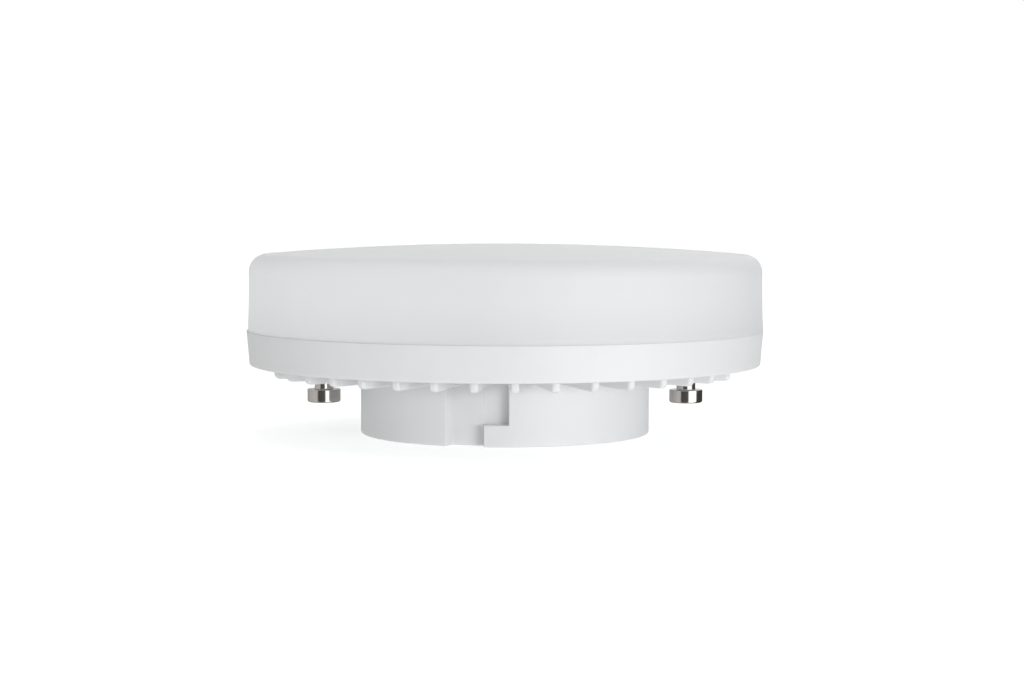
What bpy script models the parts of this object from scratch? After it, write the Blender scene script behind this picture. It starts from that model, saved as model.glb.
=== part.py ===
"""Disc-shaped LED lamp with a two-pin cap, taken apart piece by piece. Sizes are in metres.

The lamp stands on the flat end of its hub. The origin is the centre of that face, +Z points to
the opal diffuser, +X to the right-hand contact pin and -Y to the viewer. Angles round the lamp
are counted from -Y towards +X.
"""

import math

import bmesh
import bpy
from mathutils import Matrix, Vector

# Fits
GAP = 0.0003  # between two pieces that touch
SINK = 0.0004  # how deep a rib or boss is rooted in its wall
OVERSHOOT = 0.001  # how far a cutter reaches past the face that it opens

# Facets of the turned shapes
BIG_STEPS = 60
MIDDLE_STEPS = 32
PIN_STEPS = 16
SMALL_STEPS = 12

# Hub with its L-shaped slots
HUB_R = 0.02105
HUB_H = 0.0112  # from the hub's end to the recessed floor
HUB_WALL = 0.0016
HUB_END_T = 0.0016
HUB_EDGE_R = 0.0003
SLOT_COUNT = 2
SLOT_DEPTH = 0.0020
SLOT_START = math.radians(-22.6)
SLOT_BEND = math.radians(-8.3)
SLOT_END = math.radians(1.75)
SLOT_BACKING = math.radians(3.0)  # how far the wall behind a slot runs past it
SLOT_LEDGE_Z = 0.00305
SLOT_H = 0.0104
SLOT_STEPS = 4

# Rim and recessed floor
LAMP_R = 0.0375  # at the rim's top edge
RIM_DRAFT = 0.00038
RIM_H = 0.00493
RIM_DROP = 0.00108  # the rim's edge below the floor's outer face
RIM_T = 0.0015
RIM_EDGE_R = 0.0003
RIM_TOP_EDGE_R = 0.0003
FLOOR_T = 0.0016

# Cooling fins under the floor
FIN_COUNT = 40  # places all round, some of them left free beside the pins
FIN_FREE = math.radians(17.5)  # no fin stands nearer than this to a pin
FIN_PHASE = math.radians(2.4)
FIN_T = 0.0011
FIN_END_GAP = 0.0010  # between a fin's end and the rim
FIN_DROP_END = 0.0025
FIN_DROP_HUB = 0.00245
FIN_CORNER_R = 0.0010
FIN_EDGE = 0.0003

# Contact pins
PIN_SPACING = 0.0530
PIN_REACH = 0.0069  # from the floor's outer face to the pin's end
PIN_HEAD_D = 0.00494
PIN_HEAD_H = 0.0019
PIN_CHAMFER = 0.0003
PIN_SHANK_D = 0.00277
PIN_COLLAR_D = 0.0046
PIN_COLLAR_H = 0.0008
PIN_TAIL_D = 0.0020
PIN_TAIL_H = 0.0020
PIN_BOSS_D = 0.0072
PIN_BOSS_DROP = 0.0014  # the boss below the floor's outer face
PIN_ROOM = 0.0018  # free space round the shank below its boss

# Diffuser
DIFFUSER_H = 0.01240
DIFFUSER_T = 0.0015
CROWN_RISE = 0.0015
TOP_EDGE_R = 0.0025
SKIRT_INSET = 0.00025  # the skirt's top stands back from the rim
SKIRT_SPREAD = 0.00011  # how much the skirt widens down to its foot
FOOT_R = 0.00012
TONGUE_T = 0.0011
TONGUE_H = 0.0017
BEAD_H = 0.0002
BEAD_HALF_W = 0.0005

# Heat spreader, light-source board and their screws
SPREADER_LIFT = 0.0044  # above the floor's inner face
SPREADER_T = 0.0010
SPREADER_RIM_H = 0.0024
SPREADER_EDGE_GAP = 0.0010
SPREADER_HOLE_D = 0.0080
LED_BOARD_T = 0.0010
LED_BOARD_EDGE_GAP = 0.0006
LED_BOARD_HOLE_D = 0.0070
LED_LENGTH = 0.0035
LED_WIDTH = 0.0028
LED_H = 0.0008
OUTER_LED_COUNT = 12
OUTER_LED_EDGE = 0.0080  # from the ring's centres to the board's edge
INNER_LED_COUNT = 6
INNER_LED_R = 0.0125
BOARD_SCREW_COUNT = 3
BOARD_SCREW_EDGE = 0.0034
BOARD_BOSS_D = 0.0054

# Screws
SCREW_D = 0.0020
SCREW_HEAD_D = 0.0038
SCREW_HEAD_H = 0.0013
SCREW_BITE = 0.0030  # length in the boss
SCREW_TIP = 0.0005
SCREW_CROWN_R = 0.0011
SCREW_CROWN_H = 0.0005

# Driver board in the hub
DRIVER_LIFT = 0.0077  # above the end wall's inner face
DRIVER_T = 0.0012
DRIVER_POST_D = 0.0044
DRIVER_POST_EDGE = 0.0036
PART_ROOM = 0.0010  # between neighbours under the driver board

# Parts on the driver board
BIG_CAN_D = 0.0063
SMALL_CAN_D = 0.0050
CAN_LENGTH = 0.0110
CAN_CRIMP = 0.0003
CAN_CAP = 0.0009  # from a can's rubber end to its crimp
CORE_WIDTH = 0.0100
CORE_DEPTH = 0.0045
CORE_H = 0.0064
CORE_LIMB = 0.0014
CORE_MIDDLE = 0.0026
CORE_YOKE = 0.0013
WINDING_DEPTH = 0.0086
DRUM_D = 0.0060
DRUM_H = 0.0062
DRUM_WAIST = 0.0006
DRUM_FLANGE = 0.0012
FILM_SIZE = (0.0072, 0.0026, 0.0062)
BRIDGE_SIZE = (0.0047, 0.0039, 0.0024)
CHIP_SIZE = (0.0049, 0.0039, 0.0015)
FUSE_D = 0.0024
FUSE_LENGTH = 0.0062
FUSE_CAP = 0.0012
FUSE_SHOULDER = 0.0004

# Wires
MAINS_WIRE_D = 0.0011
LED_WIRE_D = 0.0009
WIRE_POINTS = 17
MAINS_WIRE_INSET = 0.0033  # from the driver board's edge
MAINS_WIRE_LIFT = 0.0018  # of its middle above the floor at the hub's edge
LED_WIRE_INSET = 0.0018  # from the middle hole's edge
LED_WIRE_REACH = 0.0027  # from that edge out to its pad
LED_WIRE_CREST = 0.0027  # above the light-source board

# Heights and radii that follow from the sizes above
RIM_Z = HUB_H - RIM_DROP
SEAM_Z = RIM_Z + RIM_H
FLOOR_IN_Z = HUB_H + FLOOR_T
RIM_LOW_R = LAMP_R - RIM_DRAFT
RIM_IN_R = RIM_LOW_R - RIM_T
HUB_IN_R = HUB_R - HUB_WALL
SLOT_R = HUB_R - SLOT_DEPTH
SLOT_BACK_R = SLOT_R - HUB_WALL
FIN_END_R = RIM_IN_R - FIN_END_GAP
PIN_X = PIN_SPACING / 2
PIN_END_Z = HUB_H - PIN_REACH
PIN_COLLAR_Z = FLOOR_IN_Z + GAP
PIN_TAIL_Z = PIN_COLLAR_Z + PIN_COLLAR_H
SKIRT_R = LAMP_R - SKIRT_INSET
TONGUE_R = RIM_IN_R - GAP
SPREADER_Z = FLOOR_IN_Z + SPREADER_LIFT
SPREADER_R = TONGUE_R - TONGUE_T - SPREADER_EDGE_GAP
LED_BOARD_Z = SPREADER_Z + SPREADER_T + GAP
LED_BOARD_TOP = LED_BOARD_Z + LED_BOARD_T
LED_BOARD_R = SPREADER_R - SPREADER_T - LED_BOARD_EDGE_GAP
BOARD_SCREW_R = LED_BOARD_R - BOARD_SCREW_EDGE
DRIVER_Z = HUB_END_T + DRIVER_LIFT
DRIVER_TOP = DRIVER_Z + DRIVER_T
DRIVER_R = SLOT_BACK_R - GAP
DRIVER_POST_R = DRIVER_R - DRIVER_POST_EDGE

WHITE_PLASTIC = ("housing_white", (0.80, 0.82, 0.84), 0.42, 0.0)
OPAL_PLASTIC = ("diffuser_opal", (0.86, 0.88, 0.90), 0.50, 0.0)
NICKEL = ("pin_nickel", (0.66, 0.63, 0.60), 0.16, 1.0)
ALUMINIUM = ("spreader_aluminium", (0.77, 0.78, 0.80), 0.34, 1.0)
SOLDER_MASK_WHITE = ("led_board_white", (0.88, 0.88, 0.86), 0.38, 0.0)
PHOSPHOR = ("led_phosphor", (0.92, 0.74, 0.22), 0.45, 0.0)
SCREW_STEEL = ("screw_steel", (0.60, 0.61, 0.63), 0.30, 1.0)
SOLDER_MASK_GREEN = ("driver_board_green", (0.05, 0.22, 0.10), 0.40, 0.0)
SLEEVE_BLACK = ("can_sleeve_black", (0.03, 0.03, 0.04), 0.35, 0.0)
FERRITE = ("ferrite_grey", (0.08, 0.08, 0.09), 0.60, 0.0)
TAPE_YELLOW = ("winding_tape", (0.80, 0.60, 0.10), 0.50, 0.0)
FILM_RED = ("film_box", (0.55, 0.10, 0.06), 0.45, 0.0)
CHIP_BLACK = ("chip_black", (0.02, 0.02, 0.02), 0.50, 0.0)
FUSE_GREEN = ("fuse_body", (0.12, 0.35, 0.30), 0.55, 0.0)
WIRE_BROWN = ("wire_brown", (0.22, 0.10, 0.05), 0.45, 0.0)
WIRE_BLUE = ("wire_blue", (0.05, 0.14, 0.45), 0.45, 0.0)
WIRE_RED = ("wire_red", (0.60, 0.04, 0.04), 0.45, 0.0)
WIRE_BLACK = ("wire_black", (0.03, 0.03, 0.03), 0.45, 0.0)


def clear_scene():
    """Removes whatever the file opened with."""
    for obj in list(bpy.data.objects):
        bpy.data.objects.remove(obj, do_unlink=True)


def new_collection(name):
    """A collection under the scene's own."""
    collection = bpy.data.collections.new(name)
    bpy.context.scene.collection.children.link(collection)
    return collection


def finish_material(finish):
    """The Principled material for a (name, colour, roughness, metallic) finish, made once."""
    name, colour, roughness, metallic = finish
    found = bpy.data.materials.get(name)
    if found:
        return found
    made = bpy.data.materials.new(name)
    made.use_nodes = True
    shader = made.node_tree.nodes["Principled BSDF"]
    shader.inputs["Base Color"].default_value = (*colour, 1.0)
    shader.inputs["Roughness"].default_value = roughness
    shader.inputs["Metallic"].default_value = metallic
    made.diffuse_color = (*colour, 1.0)
    return made


def add_piece(name, mesh, finish, location=(0.0, 0.0, 0.0)):
    """A named piece of the lamp in its own material."""
    obj = bpy.data.objects.new(name, mesh)
    obj.location = location
    mesh.materials.clear()
    mesh.materials.append(finish_material(finish))
    LAMP.objects.link(obj)
    return obj


def add_helper(name, mesh, collection, location=(0.0, 0.0, 0.0)):
    """A shape that is only joined to a piece or cut from it."""
    obj = bpy.data.objects.new(name, mesh)
    obj.location = location
    obj.hide_render = True
    obj.display_type = "WIRE"
    collection.objects.link(obj)
    return obj


def mesh_from(bm, name):
    """Turns a bmesh into a mesh and frees it."""
    bmesh.ops.recalc_face_normals(bm, faces=bm.faces)
    mesh = bpy.data.meshes.new(name)
    bm.to_mesh(mesh)
    bm.free()
    return mesh


def arc(centre_r, centre_z, radius, start, end, steps):
    """Points of an arc in the (r, z) plane, with angles from the r axis towards +Z."""
    points = []
    for i in range(steps + 1):
        angle = start + (end - start) * i / steps
        point = (centre_r + radius * math.cos(angle), centre_z + radius * math.sin(angle))
        points.append(point)
    return points


def turn(obj, steps):
    """Sweeps a profile in the XZ plane once round Z."""
    screw = obj.modifiers.new("Turn", "SCREW")
    screw.angle = math.tau
    screw.steps = steps
    screw.render_steps = steps
    screw.use_merge_vertices = True
    screw.merge_threshold = 0.000001
    screw.use_smooth_shade = True


def profile_mesh(name, points):
    """An open line of edges through (r, z) points."""
    mesh = bpy.data.meshes.new(name)
    edges = [(i, i + 1) for i in range(len(points) - 1)]
    mesh.from_pydata([(r, 0.0, z) for r, z in points], edges, [])
    return mesh


def turned_piece(name, points, steps, finish, location=(0.0, 0.0, 0.0)):
    """A turned piece, whose profile runs from the top down its outer side."""
    obj = add_piece(name, profile_mesh(name, points), finish, location)
    turn(obj, steps)
    return obj


def rod_mesh(name, radius, low, high, steps):
    """A closed cylinder along Z between two heights."""
    bm = bmesh.new()
    bmesh.ops.create_cone(
        bm, cap_ends=True, segments=steps, radius1=radius, radius2=radius, depth=high - low
    )
    bmesh.ops.translate(bm, verts=bm.verts, vec=(0.0, 0.0, (low + high) / 2))
    # Half a facet's turn keeps the rod's corners off the edges of the wall that it enters.
    half_facet = Matrix.Rotation(math.pi / steps, 3, "Z")
    bmesh.ops.rotate(bm, verts=bm.verts, cent=(0.0, 0.0, 0.0), matrix=half_facet)
    return mesh_from(bm, name)


def block_mesh(name, size, bevel=0.0):
    """A box centred on the origin, with its edges bevelled if a width is given."""
    bm = bmesh.new()
    bmesh.ops.create_cube(bm, size=1.0)
    bmesh.ops.scale(bm, verts=bm.verts, vec=size)
    if bevel:
        bmesh.ops.bevel(bm, geom=bm.edges[:], offset=bevel, segments=1, affect="EDGES")
    return mesh_from(bm, name)


def prism(bm, outline, depth):
    """Adds a flat outline of points to a bmesh and extrudes it by the vector depth."""
    face = bm.faces.new([bm.verts.new(point) for point in outline])
    side = bmesh.ops.extrude_face_region(bm, geom=[face])["geom"]
    moved = [item for item in side if isinstance(item, bmesh.types.BMVert)]
    bmesh.ops.translate(bm, verts=moved, vec=depth)


def around(radius, angle, z=0.0):
    """The point at a radius and an angle counted from -Y towards +X."""
    return Vector((radius * math.sin(angle), -radius * math.cos(angle), z))


def sector(bm, inner, outer, start, end, low, high, steps=5):
    """Adds a block bounded by two arcs and two radial faces."""
    angles = [start + (end - start) * i / steps for i in range(steps + 1)]
    outline = [around(outer, angle, low) for angle in angles]
    outline += [around(inner, angle, low) for angle in reversed(angles)]
    prism(bm, outline, Vector((0.0, 0.0, high - low)))


def boolean(obj, operation, collection):
    """Joins a collection of helpers to a piece, or cuts them out of it."""
    modifier = obj.modifiers.new(operation.title(), "BOOLEAN")
    modifier.operation = operation
    modifier.solver = "EXACT"
    modifier.operand_type = "COLLECTION"
    modifier.collection = collection


def apply_modifiers(obj):
    """Writes the modifiers into the mesh and shades it smooth up to its real edges."""
    bpy.context.view_layer.update()
    evaluated = obj.evaluated_get(bpy.context.evaluated_depsgraph_get())
    mesh = bpy.data.meshes.new_from_object(evaluated)
    obj.modifiers.clear()
    obj.data = mesh
    mesh.shade_smooth()
    mesh.set_sharp_from_angle(angle=math.radians(35.0))


def housing_profile():
    """Half section of the moulding: inside of the hub, floor, rim, recess and hub wall."""
    quarter = math.pi / 2
    rim_centre = RIM_LOW_R - RIM_EDGE_R
    groove_z = SEAM_Z - TONGUE_H / 2
    points = [(0.0, HUB_END_T), (HUB_IN_R, HUB_END_T), (HUB_IN_R, FLOOR_IN_Z)]
    points += [(RIM_IN_R, FLOOR_IN_Z), (RIM_IN_R, groove_z - BEAD_HALF_W)]
    points += [(RIM_IN_R + BEAD_H, groove_z), (RIM_IN_R, groove_z + BEAD_HALF_W)]
    top_z = SEAM_Z - GAP / 2
    points += [(RIM_IN_R, top_z)]
    points += arc(LAMP_R - RIM_TOP_EDGE_R, top_z - RIM_TOP_EDGE_R, RIM_TOP_EDGE_R, quarter, 0.0, 2)
    points += arc(rim_centre, RIM_Z + RIM_EDGE_R, RIM_EDGE_R, 0.0, -quarter, 2)
    points += [(RIM_IN_R, RIM_Z), (RIM_IN_R, HUB_H), (HUB_R, HUB_H)]
    points += arc(HUB_R - HUB_EDGE_R, HUB_EDGE_R, HUB_EDGE_R, 0.0, -quarter, 2)
    points += [(0.0, 0.0)]
    return points


def fin_outline():
    """Side view of a fin in the XZ plane, rising from its rounded outer end to the hub."""
    root_r = HUB_R - SINK
    low = HUB_H - FIN_DROP_END
    corner = arc(
        FIN_END_R - FIN_CORNER_R, low + FIN_CORNER_R, FIN_CORNER_R, 0.0, -math.pi / 2, 3
    )
    points = [(root_r, HUB_H + SINK), (FIN_END_R, HUB_H + SINK)] + corner
    points += [(root_r, HUB_H - FIN_DROP_HUB)]
    return [Vector((r, -FIN_T / 2, z)) for r, z in points]


def fins_mesh():
    """All the fins: one is extruded, its lower edges are eased, and it is copied round Z.

    The places beside the two pins, a quarter turn either side of the front, stay free.
    """
    bm = bmesh.new()
    prism(bm, fin_outline(), Vector((0.0, FIN_T, 0.0)))
    lower = [
        edge
        for edge in bm.edges
        if all(vert.co.z < HUB_H for vert in edge.verts)
        and abs(edge.verts[0].co.y - edge.verts[1].co.y) < FIN_T / 2
    ]
    bmesh.ops.bevel(bm, geom=lower, offset=FIN_EDGE, segments=1, affect="EDGES")
    bmesh.ops.recalc_face_normals(bm, faces=bm.faces)
    # The first fin lies along +X, a quarter turn on from the zero of the angles.
    start = Matrix.Rotation(FIN_PHASE - math.pi / 2, 3, "Z")
    bmesh.ops.rotate(bm, verts=bm.verts, cent=(0.0, 0.0, 0.0), matrix=start)
    first = bm.verts[:] + bm.edges[:] + bm.faces[:]
    for i in range(1, FIN_COUNT):
        turned = math.tau * i / FIN_COUNT
        if abs(math.cos(FIN_PHASE + turned)) < math.sin(FIN_FREE):
            continue
        copied = bmesh.ops.duplicate(bm, geom=first)["geom"]
        verts = [item for item in copied if isinstance(item, bmesh.types.BMVert)]
        turn_by = Matrix.Rotation(turned, 3, "Z")
        bmesh.ops.rotate(bm, verts=verts, cent=(0.0, 0.0, 0.0), matrix=turn_by)
    return mesh_from(bm, "fins")


def board_screw_places():
    """Centres of the screws that hold the light-source board, in plan."""
    step = math.tau / BOARD_SCREW_COUNT
    return [around(BOARD_SCREW_R, math.pi + i * step) for i in range(BOARD_SCREW_COUNT)]


def driver_screw_places():
    """Centres of the screws that hold the driver board, in plan."""
    return [around(DRIVER_POST_R, 0.0), around(DRIVER_POST_R, math.pi)]


def add_pin_clearings(clearings):
    """Free space for a holder's contact round each pin, kept clear of hub and fins."""
    top = HUB_H - PIN_BOSS_DROP / 2
    room = rod_mesh("pin_room", PIN_SHANK_D / 2 + PIN_ROOM, PIN_END_Z, top, PIN_STEPS)
    for side in (-1, 1):
        add_helper("pin_room", room, clearings, (side * PIN_X, 0.0, 0.0))


def add_housing_growths(growths):
    """Bosses, posts and the thicker wall behind each slot."""
    boss = rod_mesh("pin_boss", PIN_BOSS_D / 2, HUB_H - PIN_BOSS_DROP, HUB_H + SINK, PIN_STEPS)
    for side in (-1, 1):
        add_helper("pin_boss", boss, growths, (side * PIN_X, 0.0, 0.0))
    boss = rod_mesh(
        "board_boss", BOARD_BOSS_D / 2, FLOOR_IN_Z - SINK, SPREADER_Z - GAP, PIN_STEPS
    )
    for place in board_screw_places():
        add_helper("board_boss", boss, growths, place)
    post = rod_mesh("driver_post", DRIVER_POST_D / 2, HUB_END_T - SINK, DRIVER_Z - GAP, PIN_STEPS)
    for place in driver_screw_places():
        add_helper("driver_post", post, growths, place)
    backing = bmesh.new()
    for i in range(SLOT_COUNT):
        turned = math.tau * i / SLOT_COUNT
        sector(
            backing,
            SLOT_BACK_R,
            HUB_IN_R + SINK,
            SLOT_START - SLOT_BACKING + turned,
            SLOT_END + SLOT_BACKING + turned,
            HUB_END_T - SINK,
            FLOOR_IN_Z - SINK,
        )
    add_helper("slot_backing", mesh_from(backing, "slot_backing"), growths)


def slot_mesh():
    """L-shaped cutters: each is a patch of the slot's back wall, extruded past the hub."""
    bm = bmesh.new()
    channel = [SLOT_START + (SLOT_BEND - SLOT_START) * i / SLOT_STEPS for i in range(SLOT_STEPS)]
    leg = [SLOT_BEND + (SLOT_END - SLOT_BEND) * i / SLOT_STEPS for i in range(SLOT_STEPS + 1)]
    levels = (-OVERSHOOT, SLOT_LEDGE_Z, SLOT_H)
    for i in range(SLOT_COUNT):
        turned = math.tau * i / SLOT_COUNT
        rows = [
            [bm.verts.new(around(SLOT_R, angle + turned, z)) for z in levels]
            for angle in channel + leg
        ]
        for k, (left, right) in enumerate(zip(rows, rows[1:])):
            bm.faces.new((left[1], right[1], right[2], left[2]))
            if k < SLOT_STEPS:
                bm.faces.new((left[0], right[0], right[1], left[1]))
    loose = [vert for vert in bm.verts if not vert.link_faces]
    bmesh.ops.delete(bm, geom=loose, context="VERTS")
    outer = bmesh.ops.extrude_face_region(bm, geom=bm.faces[:])["geom"]
    moved = [item for item in outer if isinstance(item, bmesh.types.BMVert)]
    reach = (HUB_R + OVERSHOOT) / SLOT_R
    bmesh.ops.scale(bm, verts=moved, vec=(reach, reach, 1.0))
    return mesh_from(bm, "l_slots")


def add_housing_cuts(cuts):
    """The L-shaped slots, the pin holes and the screws' pilot holes."""
    add_helper("l_slots", slot_mesh(), cuts)
    bore = rod_mesh(
        "pin_bore", PIN_SHANK_D / 2 + GAP, PIN_END_Z, FLOOR_IN_Z + OVERSHOOT, PIN_STEPS
    )
    for side in (-1, 1):
        add_helper("pin_bore", bore, cuts, (side * PIN_X, 0.0, 0.0))
    pilot_r = SCREW_D / 2 + GAP
    depth = SCREW_BITE + OVERSHOOT
    pilot = rod_mesh("board_pilot", pilot_r, SPREADER_Z - depth, SPREADER_Z, SMALL_STEPS)
    for place in board_screw_places():
        add_helper("board_pilot", pilot, cuts, place)
    pilot = rod_mesh("driver_pilot", pilot_r, DRIVER_Z - depth, DRIVER_Z, SMALL_STEPS)
    for place in driver_screw_places():
        add_helper("driver_pilot", pilot, cuts, place)


def make_housing():
    """The one-piece moulding: rim, finned floor and hub with its L-slots."""
    housing = turned_piece("housing", housing_profile(), BIG_STEPS, WHITE_PLASTIC)
    fins = new_collection("housing_fins")
    add_helper("fins", fins_mesh(), fins)
    boolean(housing, "UNION", fins)
    clearings = new_collection("pin_clearings")
    add_pin_clearings(clearings)
    boolean(housing, "DIFFERENCE", clearings)
    growths = new_collection("housing_growths")
    add_housing_growths(growths)
    boolean(housing, "UNION", growths)
    cuts = new_collection("housing_cuts")
    add_housing_cuts(cuts)
    boolean(housing, "DIFFERENCE", cuts)
    apply_modifiers(housing)


def dome_profile(top_z, wall_r, edge_r, rise, crown_steps, edge_steps):
    """A shallow crown from the axis outwards, rounded into an upright wall of radius wall_r.

    The crown is part of a sphere that rises by rise over the flat part of the top, and the edge
    is an arc that touches both the sphere and the wall.
    """
    reach = SKIRT_R - TOP_EDGE_R
    sphere_r = (reach**2 + CROWN_RISE**2) / (2 * CROWN_RISE) - (CROWN_RISE - rise)
    sphere_z = top_z - sphere_r
    edge_z = sphere_z + math.sqrt((sphere_r - edge_r) ** 2 - (wall_r - edge_r) ** 2)
    meet = math.atan2(edge_z - sphere_z, wall_r - edge_r)
    crown = arc(0.0, sphere_z, sphere_r, math.pi / 2, meet, crown_steps)
    edge = arc(wall_r - edge_r, edge_z, edge_r, meet, 0.0, edge_steps)
    return crown + edge[1:]


def make_diffuser():
    """The opal cover: a crowned cup with a drafted skirt and a tongue that snaps into the rim."""
    top = SEAM_Z + DIFFUSER_H
    foot_z = SEAM_Z + GAP / 2
    outer = dome_profile(top, SKIRT_R, TOP_EDGE_R, CROWN_RISE, 4, 5)
    middle_z = (outer[-1][1] + foot_z) / 2
    skirt = [(SKIRT_R + SKIRT_SPREAD / 4, middle_z)]
    foot_r = SKIRT_R + SKIRT_SPREAD
    foot = arc(foot_r - FOOT_R, foot_z + FOOT_R, FOOT_R, 0.0, -math.pi / 2, 1)
    bead_z = SEAM_Z - TONGUE_H / 2
    tongue = [(TONGUE_R, foot_z), (TONGUE_R, bead_z + BEAD_HALF_W), (TONGUE_R + BEAD_H, bead_z)]
    tongue += [(TONGUE_R, bead_z - BEAD_HALF_W), (TONGUE_R - TONGUE_T, SEAM_Z - TONGUE_H)]
    inner_wall = SKIRT_R - DIFFUSER_T
    shoulder = [(TONGUE_R - TONGUE_T, foot_z), (inner_wall, foot_z + DIFFUSER_T)]
    inner = dome_profile(
        top - DIFFUSER_T, inner_wall, TOP_EDGE_R - DIFFUSER_T, CROWN_RISE, 2, 2
    )
    profile = outer + skirt + foot + tongue + shoulder + inner[::-1]
    diffuser = turned_piece("diffuser", profile, BIG_STEPS, OPAL_PLASTIC)
    apply_modifiers(diffuser)


def make_pins():
    """Turned pins: headed end, shank through the boss, collar and tail inside."""
    head_r = PIN_HEAD_D / 2
    shank_r = PIN_SHANK_D / 2
    tail_top = PIN_TAIL_Z + PIN_TAIL_H
    head_top = PIN_END_Z + PIN_HEAD_H
    profile = [
        (0.0, tail_top),
        (PIN_TAIL_D / 2, tail_top),
        (PIN_TAIL_D / 2, PIN_TAIL_Z),
        (PIN_COLLAR_D / 2, PIN_TAIL_Z),
        (PIN_COLLAR_D / 2, PIN_COLLAR_Z),
        (shank_r, PIN_COLLAR_Z),
        (shank_r, head_top),
        (head_r, head_top),
        (head_r, PIN_END_Z + PIN_CHAMFER),
        (head_r - PIN_CHAMFER, PIN_END_Z),
        (0.0, PIN_END_Z),
    ]
    for side, name in ((-1, "contact_pin_left"), (1, "contact_pin_right")):
        pin = turned_piece(name, profile, PIN_STEPS, NICKEL, (side * PIN_X, 0.0, 0.0))
        apply_modifiers(pin)


def add_screw_holes(name, obj, places, low, high):
    """Cuts clearance holes for screws through a board."""
    cuts = new_collection(name)
    hole = rod_mesh(name, SCREW_D / 2 + GAP, low - OVERSHOOT, high + OVERSHOOT, SMALL_STEPS)
    for place in places:
        add_helper(name, hole, cuts, place)
    boolean(obj, "DIFFERENCE", cuts)


def make_heat_spreader():
    """A pressed aluminium dish that lies on the housing's three bosses."""
    hole_r = SPREADER_HOLE_D / 2
    face = SPREADER_Z + SPREADER_T
    top = face + SPREADER_RIM_H
    profile = [
        (hole_r, face),
        (SPREADER_R - SPREADER_T, face),
        (SPREADER_R - SPREADER_T, top),
        (SPREADER_R, top),
        (SPREADER_R, SPREADER_Z + SPREADER_T / 2),
        (SPREADER_R - SPREADER_T / 2, SPREADER_Z),
        (hole_r, SPREADER_Z),
        (hole_r, face),
    ]
    spreader = turned_piece("heat_spreader", profile, MIDDLE_STEPS, ALUMINIUM)
    add_screw_holes("spreader_holes", spreader, board_screw_places(), SPREADER_Z, face)
    apply_modifiers(spreader)


def make_led_board():
    """The round light-source board with its wire hole in the middle."""
    hole_r = LED_BOARD_HOLE_D / 2
    profile = [
        (hole_r, LED_BOARD_TOP),
        (LED_BOARD_R, LED_BOARD_TOP),
        (LED_BOARD_R, LED_BOARD_Z),
        (hole_r, LED_BOARD_Z),
        (hole_r, LED_BOARD_TOP),
    ]
    board = turned_piece("led_board", profile, MIDDLE_STEPS, SOLDER_MASK_WHITE)
    add_screw_holes(
        "led_board_holes", board, board_screw_places(), LED_BOARD_Z, LED_BOARD_TOP
    )
    apply_modifiers(board)


def make_leds():
    """Surface-mounted LEDs in two rings, each with its long side along the ring."""
    mesh = block_mesh("led", (LED_LENGTH, LED_WIDTH, LED_H))
    z = LED_BOARD_TOP + GAP + LED_H / 2
    rings = (
        (OUTER_LED_COUNT, LED_BOARD_R - OUTER_LED_EDGE),
        (INNER_LED_COUNT, INNER_LED_R),
    )
    number = 0
    for count, radius in rings:
        for i in range(count):
            number += 1
            angle = math.tau * (i + 0.5) / count
            led = add_piece(f"led_{number:02d}", mesh, PHOSPHOR, around(radius, angle, z))
            led.rotation_euler.z = angle


def make_screws(name, places, seat_z, stack):
    """Pan-head screws whose heads rest on seat_z and pass through a stack of that height."""
    head_r = SCREW_HEAD_D / 2
    shank_r = SCREW_D / 2
    head_z = seat_z + GAP
    top = head_z + SCREW_HEAD_H
    tip = seat_z - stack - SCREW_BITE
    profile = [
        (0.0, top),
        (SCREW_CROWN_R, top),
        (head_r, top - SCREW_CROWN_H),
        (head_r, head_z),
        (shank_r, head_z),
        (shank_r, tip + SCREW_TIP),
        (shank_r - SCREW_TIP, tip),
        (0.0, tip),
    ]
    for i, place in enumerate(places, 1):
        screw = turned_piece(f"{name}_{i}", profile, SMALL_STEPS, SCREW_STEEL, place)
        apply_modifiers(screw)


def make_driver_board():
    """The round driver board on the hub's two posts."""
    profile = [(0.0, DRIVER_TOP), (DRIVER_R, DRIVER_TOP), (DRIVER_R, DRIVER_Z), (0.0, DRIVER_Z)]
    board = turned_piece("driver_board", profile, MIDDLE_STEPS, SOLDER_MASK_GREEN)
    add_screw_holes("driver_holes", board, driver_screw_places(), DRIVER_Z, DRIVER_TOP)
    apply_modifiers(board)


def make_can(name, diameter, x):
    """An electrolytic capacitor lying along Y under the driver board."""
    radius = diameter / 2
    half = CAN_LENGTH / 2
    profile = [
        (0.0, half),
        (radius - CAN_CRIMP, half),
        (radius, half - CAN_CRIMP),
        (radius, -half + CAN_CAP + 2 * CAN_CRIMP),
        (radius - CAN_CRIMP, -half + CAN_CAP + CAN_CRIMP),
        (radius, -half + CAN_CAP),
        (radius, -half + CAN_CRIMP),
        (radius - CAN_CRIMP, -half),
        (0.0, -half),
    ]
    place = (x, 0.0, DRIVER_Z - GAP - radius)
    can = turned_piece(name, profile, SMALL_STEPS, SLEEVE_BLACK, place)
    can.rotation_euler.x = math.pi / 2
    apply_modifiers(can)


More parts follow.
